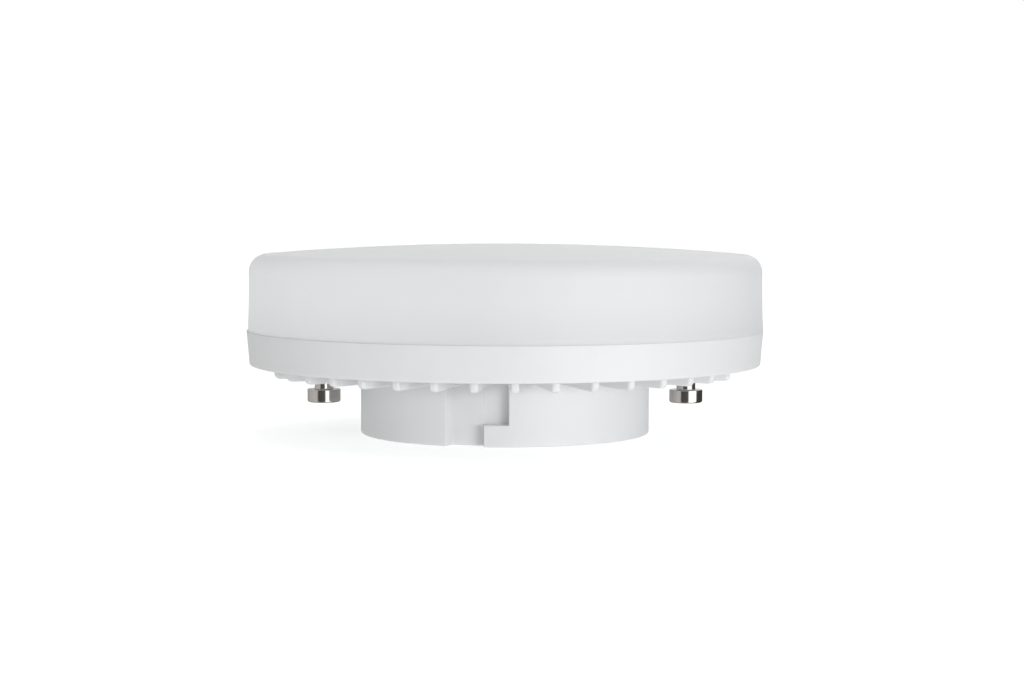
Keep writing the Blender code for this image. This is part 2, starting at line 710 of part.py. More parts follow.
def make_transformer():
    """A three-limbed ferrite core with its winding round the middle limb."""
    core_z = DRIVER_Z - GAP - CORE_H / 2
    window_h = CORE_H - 2 * CORE_YOKE
    window_w = (CORE_WIDTH - 2 * CORE_LIMB - CORE_MIDDLE) / 2
    core_mesh = block_mesh("transformer_core", (CORE_WIDTH, CORE_DEPTH, CORE_H))
    core = add_piece("transformer_core", core_mesh, FERRITE, (0.0, 0.0, core_z))
    windows = new_collection("core_windows")
    window_mesh = block_mesh("core_window", (window_w, CORE_DEPTH + OVERSHOOT, window_h))
    window_x = (CORE_MIDDLE + window_w) / 2
    for side in (-1, 1):
        add_helper("core_window", window_mesh, windows, (side * window_x, 0.0, core_z))
    boolean(core, "DIFFERENCE", windows)
    apply_modifiers(core)
    winding_w = CORE_MIDDLE + 2 * window_w - 2 * GAP
    winding_h = window_h - 2 * GAP
    winding_mesh = block_mesh(
        "transformer_winding", (winding_w, WINDING_DEPTH, winding_h), bevel=GAP
    )
    winding = add_piece("transformer_winding", winding_mesh, TAPE_YELLOW, (0.0, 0.0, core_z))
    limbs = new_collection("winding_core")
    limb_size = (CORE_MIDDLE + 2 * GAP, CORE_DEPTH + 2 * GAP, CORE_H)
    add_helper("winding_core", block_mesh("winding_core", limb_size), limbs, (0.0, 0.0, core_z))
    boolean(winding, "DIFFERENCE", limbs)
    apply_modifiers(winding)


def make_drum(name, place):
    """A drum-core filter inductor, standing with its wound waist between two flanges."""
    radius = DRUM_D / 2
    half = DRUM_H / 2
    profile = [
        (0.0, half),
        (radius, half),
        (radius, half - DRUM_FLANGE),
        (radius - DRUM_WAIST, half - DRUM_FLANGE),
        (radius - DRUM_WAIST, -half + DRUM_FLANGE),
        (radius, -half + DRUM_FLANGE),
        (radius, -half),
        (0.0, -half),
    ]
    drum = turned_piece(name, profile, SMALL_STEPS, FERRITE, place)
    apply_modifiers(drum)


def make_fuse_resistor(place):
    """A fusible resistor lying along X, thicker at its end caps."""
    radius = FUSE_D / 2
    half = FUSE_LENGTH / 2
    waist = radius - CAN_CRIMP / 2
    profile = [
        (0.0, half),
        (radius, half),
        (radius, half - FUSE_CAP),
        (waist, half - FUSE_CAP - FUSE_SHOULDER),
        (waist, -half + FUSE_CAP + FUSE_SHOULDER),
        (radius, -half + FUSE_CAP),
        (radius, -half),
        (0.0, -half),
    ]
    fuse = turned_piece("fuse_resistor", profile, SMALL_STEPS, FUSE_GREEN, place)
    fuse.rotation_euler.y = math.pi / 2
    apply_modifiers(fuse)


def make_driver_parts():
    """Parts under the driver board, where the hub has room, and two flat ones on top."""
    under = DRIVER_Z - GAP
    over = DRIVER_TOP + GAP
    can_side = CORE_WIDTH / 2 + 2 * PART_ROOM
    big_x = can_side + BIG_CAN_D / 2
    small_x = can_side + SMALL_CAN_D / 2
    make_can("input_capacitor", BIG_CAN_D, -big_x)
    make_can("output_capacitor", SMALL_CAN_D, small_x)
    make_transformer()
    film_y = CAN_LENGTH / 2 + 3 * PART_ROOM + FILM_SIZE[1] / 2
    film_x = -DRIVER_POST_D / 2 - FILM_SIZE[0] / 2 - PART_ROOM
    film_place = (film_x, film_y, under - FILM_SIZE[2] / 2)
    add_piece("film_capacitor", block_mesh("film", FILM_SIZE, bevel=GAP), FILM_RED, film_place)
    drum_x = DRIVER_POST_D / 2 + DRUM_D / 2 + 2 * PART_ROOM
    drum_y = -CAN_LENGTH / 2 - DRUM_D / 2 - PART_ROOM
    make_drum("filter_inductor", (drum_x, drum_y, under - DRUM_H / 2))
    fuse_x = DRIVER_POST_D / 2 + FUSE_LENGTH / 2 + PART_ROOM
    fuse_y = CAN_LENGTH / 2 + FUSE_D / 2 + 2 * PART_ROOM
    make_fuse_resistor((fuse_x, fuse_y, under - FUSE_D / 2))
    bridge_place = (-DRIVER_R / 2, -DRIVER_R / 2, over + BRIDGE_SIZE[2] / 2)
    bridge_mesh = block_mesh("bridge", BRIDGE_SIZE, bevel=GAP)
    add_piece("bridge_rectifier", bridge_mesh, CHIP_BLACK, bridge_place)
    chip_place = (DRIVER_R / 2, DRIVER_R / 2, over + CHIP_SIZE[2] / 2)
    add_piece("driver_chip", block_mesh("chip", CHIP_SIZE, bevel=GAP), CHIP_BLACK, chip_place)


def smooth_route(route, count):
    """Evenly spread points on a Catmull-Rom curve through the route's points."""
    points = [Vector(point) for point in route]
    ends = [2 * points[0] - points[1]] + points + [2 * points[-1] - points[-2]]
    spans = len(points) - 1
    made = []
    for i in range(count):
        place = spans * i / (count - 1)
        k = min(int(place), spans - 1)
        t = place - k
        a, b, c, d = ends[k : k + 4]
        bend = 2 * a - 5 * b + 4 * c - d
        twist = -a + 3 * b - 3 * c + d
        made.append((2 * b + (c - a) * t + bend * t**2 + twist * t**3) / 2)
    return made


def make_wire(name, route, diameter, finish):
    """An insulated wire along a smooth route, with closed ends."""
    points = smooth_route(route, WIRE_POINTS)
    curve = bpy.data.curves.new(name, "CURVE")
    curve.dimensions = "3D"
    curve.bevel_depth = diameter / 2
    curve.bevel_resolution = 1
    curve.use_fill_caps = True
    spline = curve.splines.new("POLY")
    spline.points.add(len(points) - 1)
    for control, point in zip(spline.points, points):
        control.co = (*point, 1.0)
    curve.materials.append(finish_material(finish))
    obj = bpy.data.objects.new(name, curve)
    LAMP.objects.link(obj)


def make_mains_wires():
    """From each pin's tail over the hub's edge and down to the driver board."""
    level = PIN_TAIL_Z + PIN_TAIL_H / 2
    start_x = PIN_X - PIN_TAIL_D / 2 - GAP
    foot_x = DRIVER_R - MAINS_WIRE_INSET
    over_edge = FLOOR_IN_Z + MAINS_WIRE_LIFT
    for side, name, finish in (
        (-1, "mains_wire_left", WIRE_BLUE),
        (1, "mains_wire_right", WIRE_BROWN),
    ):
        route = [
            (side * start_x, 0.0, level),
            (side * (start_x + HUB_IN_R) / 2, 0.0, (level + over_edge) / 2 + MAINS_WIRE_D / 2),
            (side * HUB_IN_R, 0.0, over_edge),
            (side * (foot_x + MAINS_WIRE_D), 0.0, FLOOR_IN_Z),
            (side * foot_x, 0.0, DRIVER_TOP + MAINS_WIRE_D),
            (side * foot_x, 0.0, DRIVER_TOP + GAP),
        ]
        make_wire(name, route, MAINS_WIRE_D, finish)


def make_led_wires():
    """From the driver board up through the middle holes and down on to the LEDs' board."""
    foot_x = LED_BOARD_HOLE_D / 2 - LED_WIRE_INSET
    pad_x = LED_BOARD_HOLE_D / 2 + LED_WIRE_REACH
    crest = LED_BOARD_TOP + LED_WIRE_CREST
    for side, name, finish in (
        (-1, "led_wire_minus", WIRE_BLACK),
        (1, "led_wire_plus", WIRE_RED),
    ):
        route = [
            (side * foot_x, 0.0, DRIVER_TOP + GAP),
            (side * foot_x, 0.0, (DRIVER_TOP + SPREADER_Z) / 2),
            (side * foot_x, 0.0, LED_BOARD_TOP),
            (side * (foot_x + pad_x) / 2, 0.0, crest),
            (side * pad_x, 0.0, LED_BOARD_TOP + LED_WIRE_CREST / 2),
            (side * pad_x, 0.0, LED_BOARD_TOP + GAP),
        ]
        make_wire(name, route, LED_WIRE_D, finish)


clear_scene()
LAMP = new_collection("led_disc_lamp")
make_housing()
make_diffuser()
make_pins()
make_heat_spreader()
make_led_board()
make_leds()
make_screws(
    "board_screw", board_screw_places(), LED_BOARD_TOP, LED_BOARD_TOP - SPREADER_Z
)
make_driver_board()
make_screws("driver_screw", driver_screw_places(), DRIVER_TOP, DRIVER_T)
make_driver_parts()
make_mains_wires()
make_led_wires()
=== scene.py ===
# %% [markdown]
# # An LED disc lamp in white and opal plastic
# The lamp is a flat puck, 75 mm across. An opal cover sits on a white moulded housing, and two
# nickel-plated pins hang it in its holder. The engineering model gives every piece its place.
# This lesson dresses that model: finer surfaces where the light shows them, and a finish for
# each of the materials, inside and out.

# %% Load the engineering model
import math

import bmesh
import bpy
import numpy as np
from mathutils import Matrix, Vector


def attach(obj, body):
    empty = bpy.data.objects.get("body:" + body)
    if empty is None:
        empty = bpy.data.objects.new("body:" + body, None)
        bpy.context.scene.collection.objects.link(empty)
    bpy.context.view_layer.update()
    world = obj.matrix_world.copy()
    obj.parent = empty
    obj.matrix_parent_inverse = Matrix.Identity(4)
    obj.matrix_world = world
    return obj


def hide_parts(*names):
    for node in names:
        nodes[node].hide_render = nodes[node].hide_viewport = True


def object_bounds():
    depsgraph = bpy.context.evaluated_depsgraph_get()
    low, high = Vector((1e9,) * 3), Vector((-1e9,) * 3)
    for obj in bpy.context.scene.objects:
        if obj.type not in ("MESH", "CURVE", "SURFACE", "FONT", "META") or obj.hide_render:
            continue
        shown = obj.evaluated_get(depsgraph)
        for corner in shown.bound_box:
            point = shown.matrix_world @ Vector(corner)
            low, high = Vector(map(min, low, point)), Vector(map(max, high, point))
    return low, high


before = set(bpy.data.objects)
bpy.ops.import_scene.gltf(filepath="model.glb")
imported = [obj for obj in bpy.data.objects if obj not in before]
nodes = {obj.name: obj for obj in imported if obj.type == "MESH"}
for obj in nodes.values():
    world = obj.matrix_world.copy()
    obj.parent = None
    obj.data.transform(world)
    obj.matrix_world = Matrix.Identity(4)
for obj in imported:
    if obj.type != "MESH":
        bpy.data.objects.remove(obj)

cad_low, cad_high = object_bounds()
MM = 0.001
extent = [round((high - low) / MM, 2) for low, high in zip(cad_low, cad_high)]
print("engineering box in mm:", extent)

# %% [markdown]
# ## The camera
# A product picture of a flat object is taken from far back with a long lens, a little above the
# seam, so that the rim's curve shows and the sides hardly converge. The tilt is under 4 degrees:
# the crown of the cover is just visible, and the fins hang below the rim in silhouette.

# %% Set the camera
SENSOR_WIDTH, FOCAL_LENGTH = 36.0, 72.25  # millimetres
CAMERA_PLACE = (0.00098, -0.300, 0.03276)  # metres
LOOK_DOWN, ROLL = 3.72, -0.1  # degrees

scene = bpy.context.scene
scene.view_settings.view_transform = "Standard"
lens = bpy.data.cameras.new("camera")
lens.sensor_width = SENSOR_WIDTH
lens.lens = FOCAL_LENGTH
lens.clip_start = 0.01
camera = bpy.data.objects.new("camera", lens)
camera.location = CAMERA_PLACE
camera.rotation_euler = (math.radians(90.0 - LOOK_DOWN), math.radians(ROLL), 0.0)
scene.collection.objects.link(camera)
scene.camera = camera
print("camera", [round(value, 4) for value in camera.location], "lens", lens.lens)

# %% [markdown]
# ## Surfaces as functions
# Nearly every piece of a lamp is round, so each surface is a grid: one direction goes along a
# profile, the other round the axis. Numpy works out all the points at once. The mesh is then made
# in one go, its doubled points at the poles are merged, and its faces are turned outwards.

# %% Helpers for profiles and grids
WELD, SLIVER = 1e-7, 1e-8  # metres: points this near become one, shorter edges go


def bend(centre_r, centre_z, radius, start, end, steps):
    """Points (r, z) of an arc: the centre plus radius times cosine and sine of the angle."""
    angle = np.radians(np.linspace(start, end, steps + 1))
    return np.stack([centre_r + radius * np.cos(angle), centre_z + radius * np.sin(angle)], 1)


def ring_grid(profile, columns, centre=(0.0, 0.0)):
    """Each profile point (r, z) is carried round the axis: x = r sin(a), y = -r cos(a)."""
    angle = np.linspace(0.0, math.tau, columns, endpoint=False)
    profile = np.asarray(profile, float)
    r, z = profile[:, :1], profile[:, 1:]
    x = centre[0] + r * np.sin(angle)
    y = centre[1] - r * np.cos(angle)
    return np.stack([x, y, np.broadcast_to(z, x.shape)], 2)


def grid_faces(rows, columns, loop):
    """Four corners of each cell: the columns close round, and with loop the rows do too."""
    i = np.arange(rows if loop else rows - 1)[:, None]
    j = np.arange(columns)[None, :]
    down, right = (i + 1) % rows, (j + 1) % columns
    cells = [i * columns + j, i * columns + right, down * columns + right, down * columns + j]
    return np.stack([np.broadcast_to(c, (len(i), columns)) for c in cells], 2).reshape(-1, 4)


def surface(name, grids, sharp=50.0):
    """One mesh object of closed grids in millimetres, smooth but for edges over the angle."""
    points, faces, count = [], [], 0
    for grid, loop in grids:
        points.append(grid.reshape(-1, 3))
        faces.append(grid_faces(grid.shape[0], grid.shape[1], loop) + count)
        count += grid.shape[0] * grid.shape[1]
    mesh = bpy.data.meshes.new(name)
    mesh.from_pydata((np.concatenate(points) * MM).tolist(), [], np.concatenate(faces).tolist())
    bm = bmesh.new()
    bm.from_mesh(mesh)
    bmesh.ops.remove_doubles(bm, verts=bm.verts, dist=WELD)
    bmesh.ops.dissolve_degenerate(bm, edges=bm.edges, dist=SLIVER)
    bmesh.ops.recalc_face_normals(bm, faces=bm.faces)
    bm.to_mesh(mesh)
    bm.free()
    mesh.shade_smooth()
    mesh.set_sharp_from_angle(angle=math.radians(sharp))
    piece = bpy.data.objects.new(name, mesh)
    scene.collection.objects.link(piece)
    triangles = sum(len(face.vertices) - 2 for face in mesh.polygons)
    print(name, "has", triangles, "triangles")
    return piece


def seat(piece, slot, *replaced):
    """The piece rides with the lamp and stands for these nodes. The slot is not used."""
    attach(piece, "root")
    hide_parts(*replaced)

# %% [markdown]
# ## The opal cover
# The cover is moulded in one shot: a very shallow spherical crown, an edge rounded to 2.6 mm and
# a skirt that widens a little towards the seam, so that it slides off its core. The whole wall is
# one profile, out and back in, which also gives the tongue that snaps into the housing. A snapped
# cover seldom sits dead centre: this one stands a hair to the right.

# %% Make the cover
# All lengths on the pieces are in millimetres.
SEAM = 15.05
COVER_TOP = 27.45
COVER_R = 37.24
COVER_FOOT_R = 37.42
COVER_OFF = 0.08
EDGE_R = 2.6
CROWN = 1.4
WALL = 1.5
SEAM_EASE = 0.01  # the cover's foot clears the seam by this
TONGUE_R, TONGUE_IN_R, TONGUE_LOW = 35.3, 34.2, 13.35
BEAD_Z, BEAD_HALF, BEAD = 14.2, 0.5, 0.2
SHOULDER_LOW, SHOULDER_HIGH = 15.2, 16.7
BALL_R = ((COVER_R - EDGE_R) ** 2 + CROWN**2) / (2 * CROWN)


def dome(top, wall_r, edge_r, ball_r, steps):
    """A sphere from the axis out to where a small arc touches both it and the upright wall."""
    ball_z = top - ball_r
    edge_z = ball_z + math.sqrt((ball_r - edge_r) ** 2 - (wall_r - edge_r) ** 2)
    meet = math.degrees(math.atan2(edge_z - ball_z, wall_r - edge_r))
    crown = bend(0.0, ball_z, ball_r, 90.0, meet, steps)
    edge = bend(wall_r - edge_r, edge_z, edge_r, meet, 0.0, steps // 2)
    return np.concatenate([crown, edge[1:]])


def skirt(top_z, foot_z, top_r, foot_r, steps):
    """The wall widens as the cube of the way down, from upright at its top."""
    part = np.linspace(0.0, 1.0, steps + 1)[1:]
    return np.stack([top_r + (foot_r - top_r) * part**3, top_z + (foot_z - top_z) * part], 1)


outer = dome(COVER_TOP, COVER_R, EDGE_R, BALL_R, 28)
foot_z = SEAM - SEAM_EASE
tongue = [
    (COVER_FOOT_R - SEAM_EASE, foot_z), (TONGUE_R, foot_z), (TONGUE_R, BEAD_Z + BEAD_HALF),
    (TONGUE_R + BEAD, BEAD_Z), (TONGUE_R, BEAD_Z - BEAD_HALF),
    (TONGUE_R - 0.1, TONGUE_LOW), (TONGUE_IN_R, TONGUE_LOW),
]
shoulder = [(TONGUE_IN_R, SHOULDER_LOW), (COVER_R - WALL, SHOULDER_HIGH)]
inner = dome(COVER_TOP - WALL, COVER_R - WALL, EDGE_R - WALL, BALL_R - WALL, 12)[::-1]
down = skirt(outer[-1, 1], foot_z + SEAM_EASE, COVER_R, COVER_FOOT_R, 10)
cover_profile = np.concatenate([outer, down, tongue, shoulder, inner])
cover = surface("opal_cover", [(ring_grid(cover_profile, 288, (COVER_OFF, 0.0)), False)])
seat(cover, "diffuser_plastic", "diffuser")

# %% [markdown]
# ## The finned housing
# The housing is the piece that takes skill: a rim, a recessed floor with 32 radial fins, a hub
# with two L-shaped slots and two pin bosses, all from one mould. It could be cut with Booleans,
# but their edges would be knife sharp. Here it is one grid instead. Its columns run parallel to
# each fin's sides, so the fins keep their thickness, and its rows follow the section from the
# rim over the floor to the hub. Every edge then gets its own small radius from a formula.

# %% Columns of the housing grid
FIN_COUNT = 40  # places all round, some of them left free
FIN_STEP = 360.0 / FIN_COUNT
FIN_FREE = 17.5  # degrees to each side of a pin without a fin
FIN_FIRST = 2.4
FIN_HALF = 0.55
FIN_FLAT = 0.20
ROOT_R = 0.25
FIN_REACH = FIN_HALF + 0.02 + ROOT_R
HUB_R = 21.05
SLOT_START, SLOT_LINE, SLOT_BEND, SLOT_END = -22.6, -8.8, -7.75, 1.75  # degrees
CUT_R = 0.08

# Offsets from a fin's middle: the crest's flat, its round, the flank and the fillet at its foot.
side = np.array([0.0, 0.20, 0.36, 0.47, 0.53, 0.55, 0.57, 0.61, 0.69, 0.82])
across = np.concatenate([-side[:0:-1], side])
fin_angles = FIN_FIRST + FIN_STEP * np.arange(FIN_COUNT)
column_fin = np.repeat(fin_angles, len(across))
column_w = np.tile(across, FIN_COUNT)
column_gap = np.zeros(len(column_w))
# Three more columns cross the open floor between one fin and the next.
column_fin = np.concatenate([column_fin] + [fin_angles] * 3)
foot = side[-1]
column_w = np.concatenate([column_w] + [np.full(FIN_COUNT, w) for w in (-foot, foot, foot)])
column_gap = np.concatenate([column_gap] + [np.full(FIN_COUNT, g) for g in (0.5, 0.5, 1.0)])
# A slot's edge needs a row of columns of its own, close together round its radius.
edge_steps = np.array([-0.08, -0.05, -0.02, 0.0, 0.005, 0.025, 0.055, 0.085])
edge_angles = np.array([SLOT_START, SLOT_LINE, SLOT_BEND, SLOT_END])
edge_angles = np.concatenate([edge_angles, edge_angles + 180.0])
fine = (edge_angles[:, None] + np.degrees(edge_steps / HUB_R)).ravel()
nearest = FIN_FIRST + FIN_STEP * np.round((fine - FIN_FIRST) / FIN_STEP)
column_fin = np.concatenate([column_fin, nearest])
column_w = np.concatenate([column_w, HUB_R * np.sin(np.radians(fine - nearest))])
column_gap = np.concatenate([column_gap, np.zeros(len(fine))])


def column_angle(radius, shift=0.0):
    """Degrees round the lamp of each column: its fin's angle plus the arcsine of the offset."""
    offset = np.sign(column_w) * np.maximum(np.abs(column_w) - shift, 0.0)
    parallel = np.degrees(np.arcsin(offset / radius))
    middle = np.sign(column_w) * FIN_STEP / 2
    return column_fin + parallel * (1.0 - column_gap) + middle * column_gap


order = np.argsort((column_angle(HUB_R) + 180.0) % 360.0)
column_fin, column_w, column_gap = column_fin[order], column_w[order], column_gap[order]
print("the housing grid has", len(column_w), "columns")

# %% [markdown]
# ### Fins
# The fins have 40 places, nine degrees apart. The four places beside each pin stay empty, so that
# a holder's contact can come in, and 32 fins are left. A fin is 1.1 mm thick and nearly equally
# deep from hub to end, where its lower corner is rounded by 0.8 mm. Across, it has a flat crest,
# two quarter rounds, upright flanks and a fillet where it leaves the floor. The depth below the
# floor is worked out from the offset and the radius alone.

# %% Depth of the fins
FLOOR = 11.2
FIN_END = 34.5
FIN_WALL = 0.01  # between the last row on a fin and the first beyond it
FIN_CORNER = 0.8
FIN_NOSE = 0.35  # radius in plan at a fin's end
NOSE_FADE = 0.4
FIN_DEEP, FIN_SHALLOW = 2.58, 2.54
NO_FIN = 9.0  # an offset far from any fin
PIN_X = 26.5


def quarter_round(distance, radius):
    """How far a quarter circle has dropped at this distance past where it starts."""
    reach = np.clip(distance, 0.0, radius)
    return radius - np.sqrt(radius**2 - reach**2)


def crest_depth(radius):
    """Full depth of a fin: a straight line from hub to end, then the corner's circle."""
    part = np.clip((radius - HUB_R) / (FIN_END - HUB_R), 0.0, 1.0)
    straight = FIN_SHALLOW + (FIN_DEEP - FIN_SHALLOW) * part
    corner = quarter_round(radius - (FIN_END - FIN_CORNER), FIN_CORNER)
    return np.where(radius > FIN_END + FIN_WALL / 2, 0.0, straight - corner)


def fin_depth(radius):
    """Depth below the floor of every column at this radius, before anything is cut away."""
    beside_pin = np.abs(np.cos(np.radians(column_fin))) < math.sin(math.radians(FIN_FREE))
    w = np.where((column_gap > 0.0) | beside_pin, NO_FIN, np.abs(column_w))
    crest = crest_depth(radius)
    crown = crest - quarter_round(w - FIN_FLAT, FIN_HALF - FIN_FLAT)
    fillet = quarter_round(FIN_REACH - w, ROOT_R)
    on_fin = (w <= FIN_HALF + 0.001) & (crest > 0.0)
    end_fillet = quarter_round(ROOT_R + FIN_END + FIN_WALL - radius, ROOT_R)
    past_end = np.where(w < FIN_REACH, end_fillet, 0.0)
    beside = np.where(radius > FIN_END + FIN_WALL / 2, past_end, fillet)
    return np.where(on_fin, np.maximum(crown, fillet), np.minimum(beside, fillet + ROOT_R))


def end_shift(radius):
    """How far the flanks have closed in near a fin's end, so that it is round in plan too."""
    inward = quarter_round(radius - (FIN_END - FIN_NOSE), FIN_NOSE)
    outward = np.clip(1.0 - (radius - FIN_END) / NOSE_FADE, 0.0, 1.0)
    flank = np.clip((np.abs(column_w) - FIN_FLAT) / FIN_NOSE, 0.0, 1.0)
    foot_fade = np.clip((foot - np.abs(column_w)) / ROOT_R, 0.0, 1.0)
    return inward * outward * foot_fade * flank

# %% [markdown]
# ### L-slots
# A holder's lugs enter the open channel of each slot and turn under the ledge, as in a bayonet.
# The slot is a mask over the hub's wall, one where it is cut and nought where it is not. The
# channel runs to the hub's end, the leg only down to the ledge, and each step of the mask is
# shaped as two small rounds with a straight wall between them.

# %% Mask of the slots
LEDGE = 3.05
SLOT_TOP = 10.4
SLOT_DEPTH = 2.0
LEG_EXTRA = 0.075  # share by which the leg lies deeper
LEG_EASE = 0.06  # the leg's extra depth comes in across this distance
FILLET_SHIFT = 0.005  # and a slot's straight wall goes down across this one
SPAN_LEVEL = 5.0  # a height at which a slot has its whole span


def step_up(distance):
    """From 0 to 1 across an edge: round outside, wall at distance 0, fillet inside."""
    outside = quarter_round(distance + CUT_R, CUT_R)
    inside = SLOT_DEPTH - quarter_round(CUT_R + FILLET_SHIFT - distance, CUT_R)
    before = np.where(distance < -CUT_R, 0.0, outside)
    return np.where(distance <= 0.0, before, inside) / SLOT_DEPTH


def from_slot(angle):
    """The angle in degrees, folded by half turns to the slot at the front."""
    return (angle + 90.0) % 180.0 - 90.0


def slot_mask(angle, z):
    """Span times height, less the block under the ledge; the leg lies a little deeper."""
    turned = from_slot(angle)
    span = step_up(np.radians(turned - SLOT_START) * HUB_R)
    span = span * step_up(np.radians(SLOT_END - turned) * HUB_R)
    past_bend = np.radians(turned - SLOT_BEND) * HUB_R
    block = step_up(past_bend) * step_up(LEDGE - z)
    past_line = np.radians(turned - SLOT_LINE) * HUB_R
    leg = 1.0 + LEG_EXTRA * np.clip(past_line / LEG_EASE + 0.5, 0.0, 1.0)
    return span * step_up(SLOT_TOP - z) * (1.0 - block) * leg

# %% [markdown]
# ### The whole section
# The rows are listed in the order in which a finger would follow them: up inside the hub, out
# over the floor, up the rim and over its top, down the drafted band, round the lower edge, along
# the recess and the fins, down the hub and in over its end.

# %% Rows of the housing grid
RIM_TOP_R, RIM_LOW_R, RIM_IN_R = 37.5, 37.12, 35.62
RIM_LOW = 10.12
RIM_EASE, RIM_ROUND, RECESS_ROUND = 0.03, 0.28, 0.3
FLOOR_IN, END_IN = 12.8, 1.6  # the inner faces of the floor and of the hub's end
HUB_IN_R = 19.55
BACKING, BACKING_FADE = 3.0, 1.5  # degrees: how far the bulge runs past a slot, and its slope
SLOT_HOOD = 1.13  # this near the hub, fins stop above a slot
HUB_END_ROUND = 0.3
rim_top = SEAM - 0.02


def plain_rows(profile):
    """Rows that are the same all the way round."""
    rows = []
    for radius, z in profile:
        angle = np.radians(column_angle(max(radius, HUB_R)))
        x, y = radius * np.sin(angle), -radius * np.cos(angle)
        rows.append(np.stack([x, y, np.full(len(angle), z)], 1))
    return rows


def inner_rows():
    """The hidden side. Behind each slot the wall bulges inwards to keep its thickness."""
    angle = column_angle(HUB_R)
    turned = from_slot(angle)
    rise = np.clip((turned - SLOT_START + BACKING) / BACKING_FADE, 0.0, 1.0)
    fall = np.clip((SLOT_END + BACKING - turned) / BACKING_FADE, 0.0, 1.0)
    radius = HUB_IN_R - SLOT_DEPTH * rise * fall
    x, y = radius * np.sin(np.radians(angle)), -radius * np.cos(np.radians(angle))
    wall = [np.stack([x, y, np.full(len(angle), z)], 1) for z in (END_IN, FLOOR_IN)]
    return plain_rows([(0.0, END_IN), (16.0, END_IN)]) + wall


def floor_rows():
    """Rows from the rim's recess to the hub, with the fins hanging from them."""
    fillets = RIM_IN_R - np.array([0.03, 0.08, 0.17, 0.27])
    beyond = FIN_END + np.array([0.5, 0.26, 0.18, 0.09, FIN_WALL])
    ends = FIN_END - np.array([0.0, 0.02, 0.06, 0.13, 0.23, 0.35, 0.5, 0.64, 0.78, 0.81])
    middle = np.array([32.8, 31.2, 29.8, 28.4, 27.0, 25.6, 24.4, 23.4, 22.8])
    hub = HUB_R + np.array([1.17, 1.09, 0.75, 0.35, 0.17, 0.07, 0.01, 0.0])
    radii = np.concatenate([fillets, beyond, ends, middle, hub])
    grid_r = np.repeat(radii[:, None], len(column_w), 1)
    rows = []
    in_slot = slot_mask(column_angle(HUB_R), SPAN_LEVEL) > 0.02
    hood_depth = FLOOR - SLOT_TOP - CUT_R - 0.01
    for radius in grid_r:
        depth = fin_depth(radius)
        angle = np.radians(column_angle(radius, end_shift(radius)))
        x, y = radius * np.sin(angle), -radius * np.cos(angle)
        depth = depth + quarter_round(HUB_R + ROOT_R - radius, ROOT_R)
        depth = depth + quarter_round(radius - (RIM_IN_R - ROOT_R), ROOT_R)
        hooded = in_slot & (radius < HUB_R + SLOT_HOOD)
        depth = np.where(hooded, np.minimum(depth, hood_depth), depth)
        rows.append(np.stack([x, y, FLOOR - depth], 1))
    return rows


def hub_rows(highest):
    """The hub's wall down to its rounded end. No row starts above the fins' undersides."""
    ceiling = SLOT_TOP - edge_steps
    ledge = LEDGE - edge_steps
    between, below = [9.6, 8.2, 6.6, 5.2, 4.2, 3.5], [2.3, 1.4, 0.7, HUB_END_ROUND]
    wall = np.sort(np.concatenate([[10.8], ceiling, between, ledge, below]))[::-1]
    end = bend(HUB_R - HUB_END_ROUND, HUB_END_ROUND, HUB_END_ROUND, 0.0, -90.0, 6)
    profile = np.concatenate([np.stack([np.full(len(wall), HUB_R), wall], 1), end[1:]])
    angle = column_angle(HUB_R)
    rows = []
    for radius, z in profile:
        level = np.minimum(z, highest)
        r = radius - SLOT_DEPTH * slot_mask(angle, level)
        x, y = r * np.sin(np.radians(angle)), -r * np.cos(np.radians(angle))
        rows.append(np.stack([x, y, level], 1))
    return rows


groove = [(RIM_IN_R, BEAD_Z - BEAD_HALF), (RIM_IN_R + 0.18, BEAD_Z), (RIM_IN_R, BEAD_Z + BEAD_HALF)]
band = [
    (RIM_TOP_R - 0.002, rim_top - 0.1), (RIM_TOP_R - 0.02, rim_top - 0.5),
    (RIM_TOP_R - 0.12, 13.6), (RIM_TOP_R - 0.24, 12.2), (RIM_LOW_R + 0.02, 10.8),
]
rim = np.concatenate([
    [(RIM_IN_R, FLOOR_IN)], groove, [(RIM_IN_R, rim_top)],
    bend(RIM_TOP_R - RIM_EASE, rim_top - RIM_EASE, RIM_EASE, 90.0, 3.0, 3),
    band,
    bend(RIM_LOW_R - RIM_ROUND, RIM_LOW + RIM_ROUND, RIM_ROUND, 0.0, -90.0, 6),
    bend(RIM_IN_R + RECESS_ROUND, RIM_LOW + RECESS_ROUND, RECESS_ROUND, -90.0, -180.0, 4),
    [(RIM_IN_R, FLOOR - ROOT_R)],
])
floor = floor_rows()
stations = inner_rows() + plain_rows(rim) + floor + hub_rows(floor[-1][:, 2])
stations += plain_rows([(18.2, 0.0), (9.0, 0.0), (0.0, 0.0)])
housing_grid = np.stack(stations)
print("the housing grid has", len(stations), "rows")

# %% [markdown]
# ### Bosses and posts
# What stands on the floor away from the fins' directions is easier as turned pieces of the same
# mesh, sunk a little into the floor: the two bosses that hold the pins, three that carry the
# light-source board and two posts for the driver board.

# %% Make the housing
def spot(radius, degrees):
    """A place in plan: x = r sin(a), y = -r cos(a)."""
    return radius * math.sin(math.radians(degrees)), -radius * math.cos(math.radians(degrees))


def pillar(radius, bore, low, high, depth, rounding=0.2):
    """A round post from low to high, its rim eased, with a pilot hole down from its top."""
    rim_round = bend(radius - rounding, high - rounding, rounding, 0.0, 90.0, 3)
    hole = [(bore + 0.1, high), (bore, high - 0.1), (bore, high - depth), (0.0, high - depth)]
    return np.concatenate([[(0.0, low), (radius, low)], rim_round, hole])


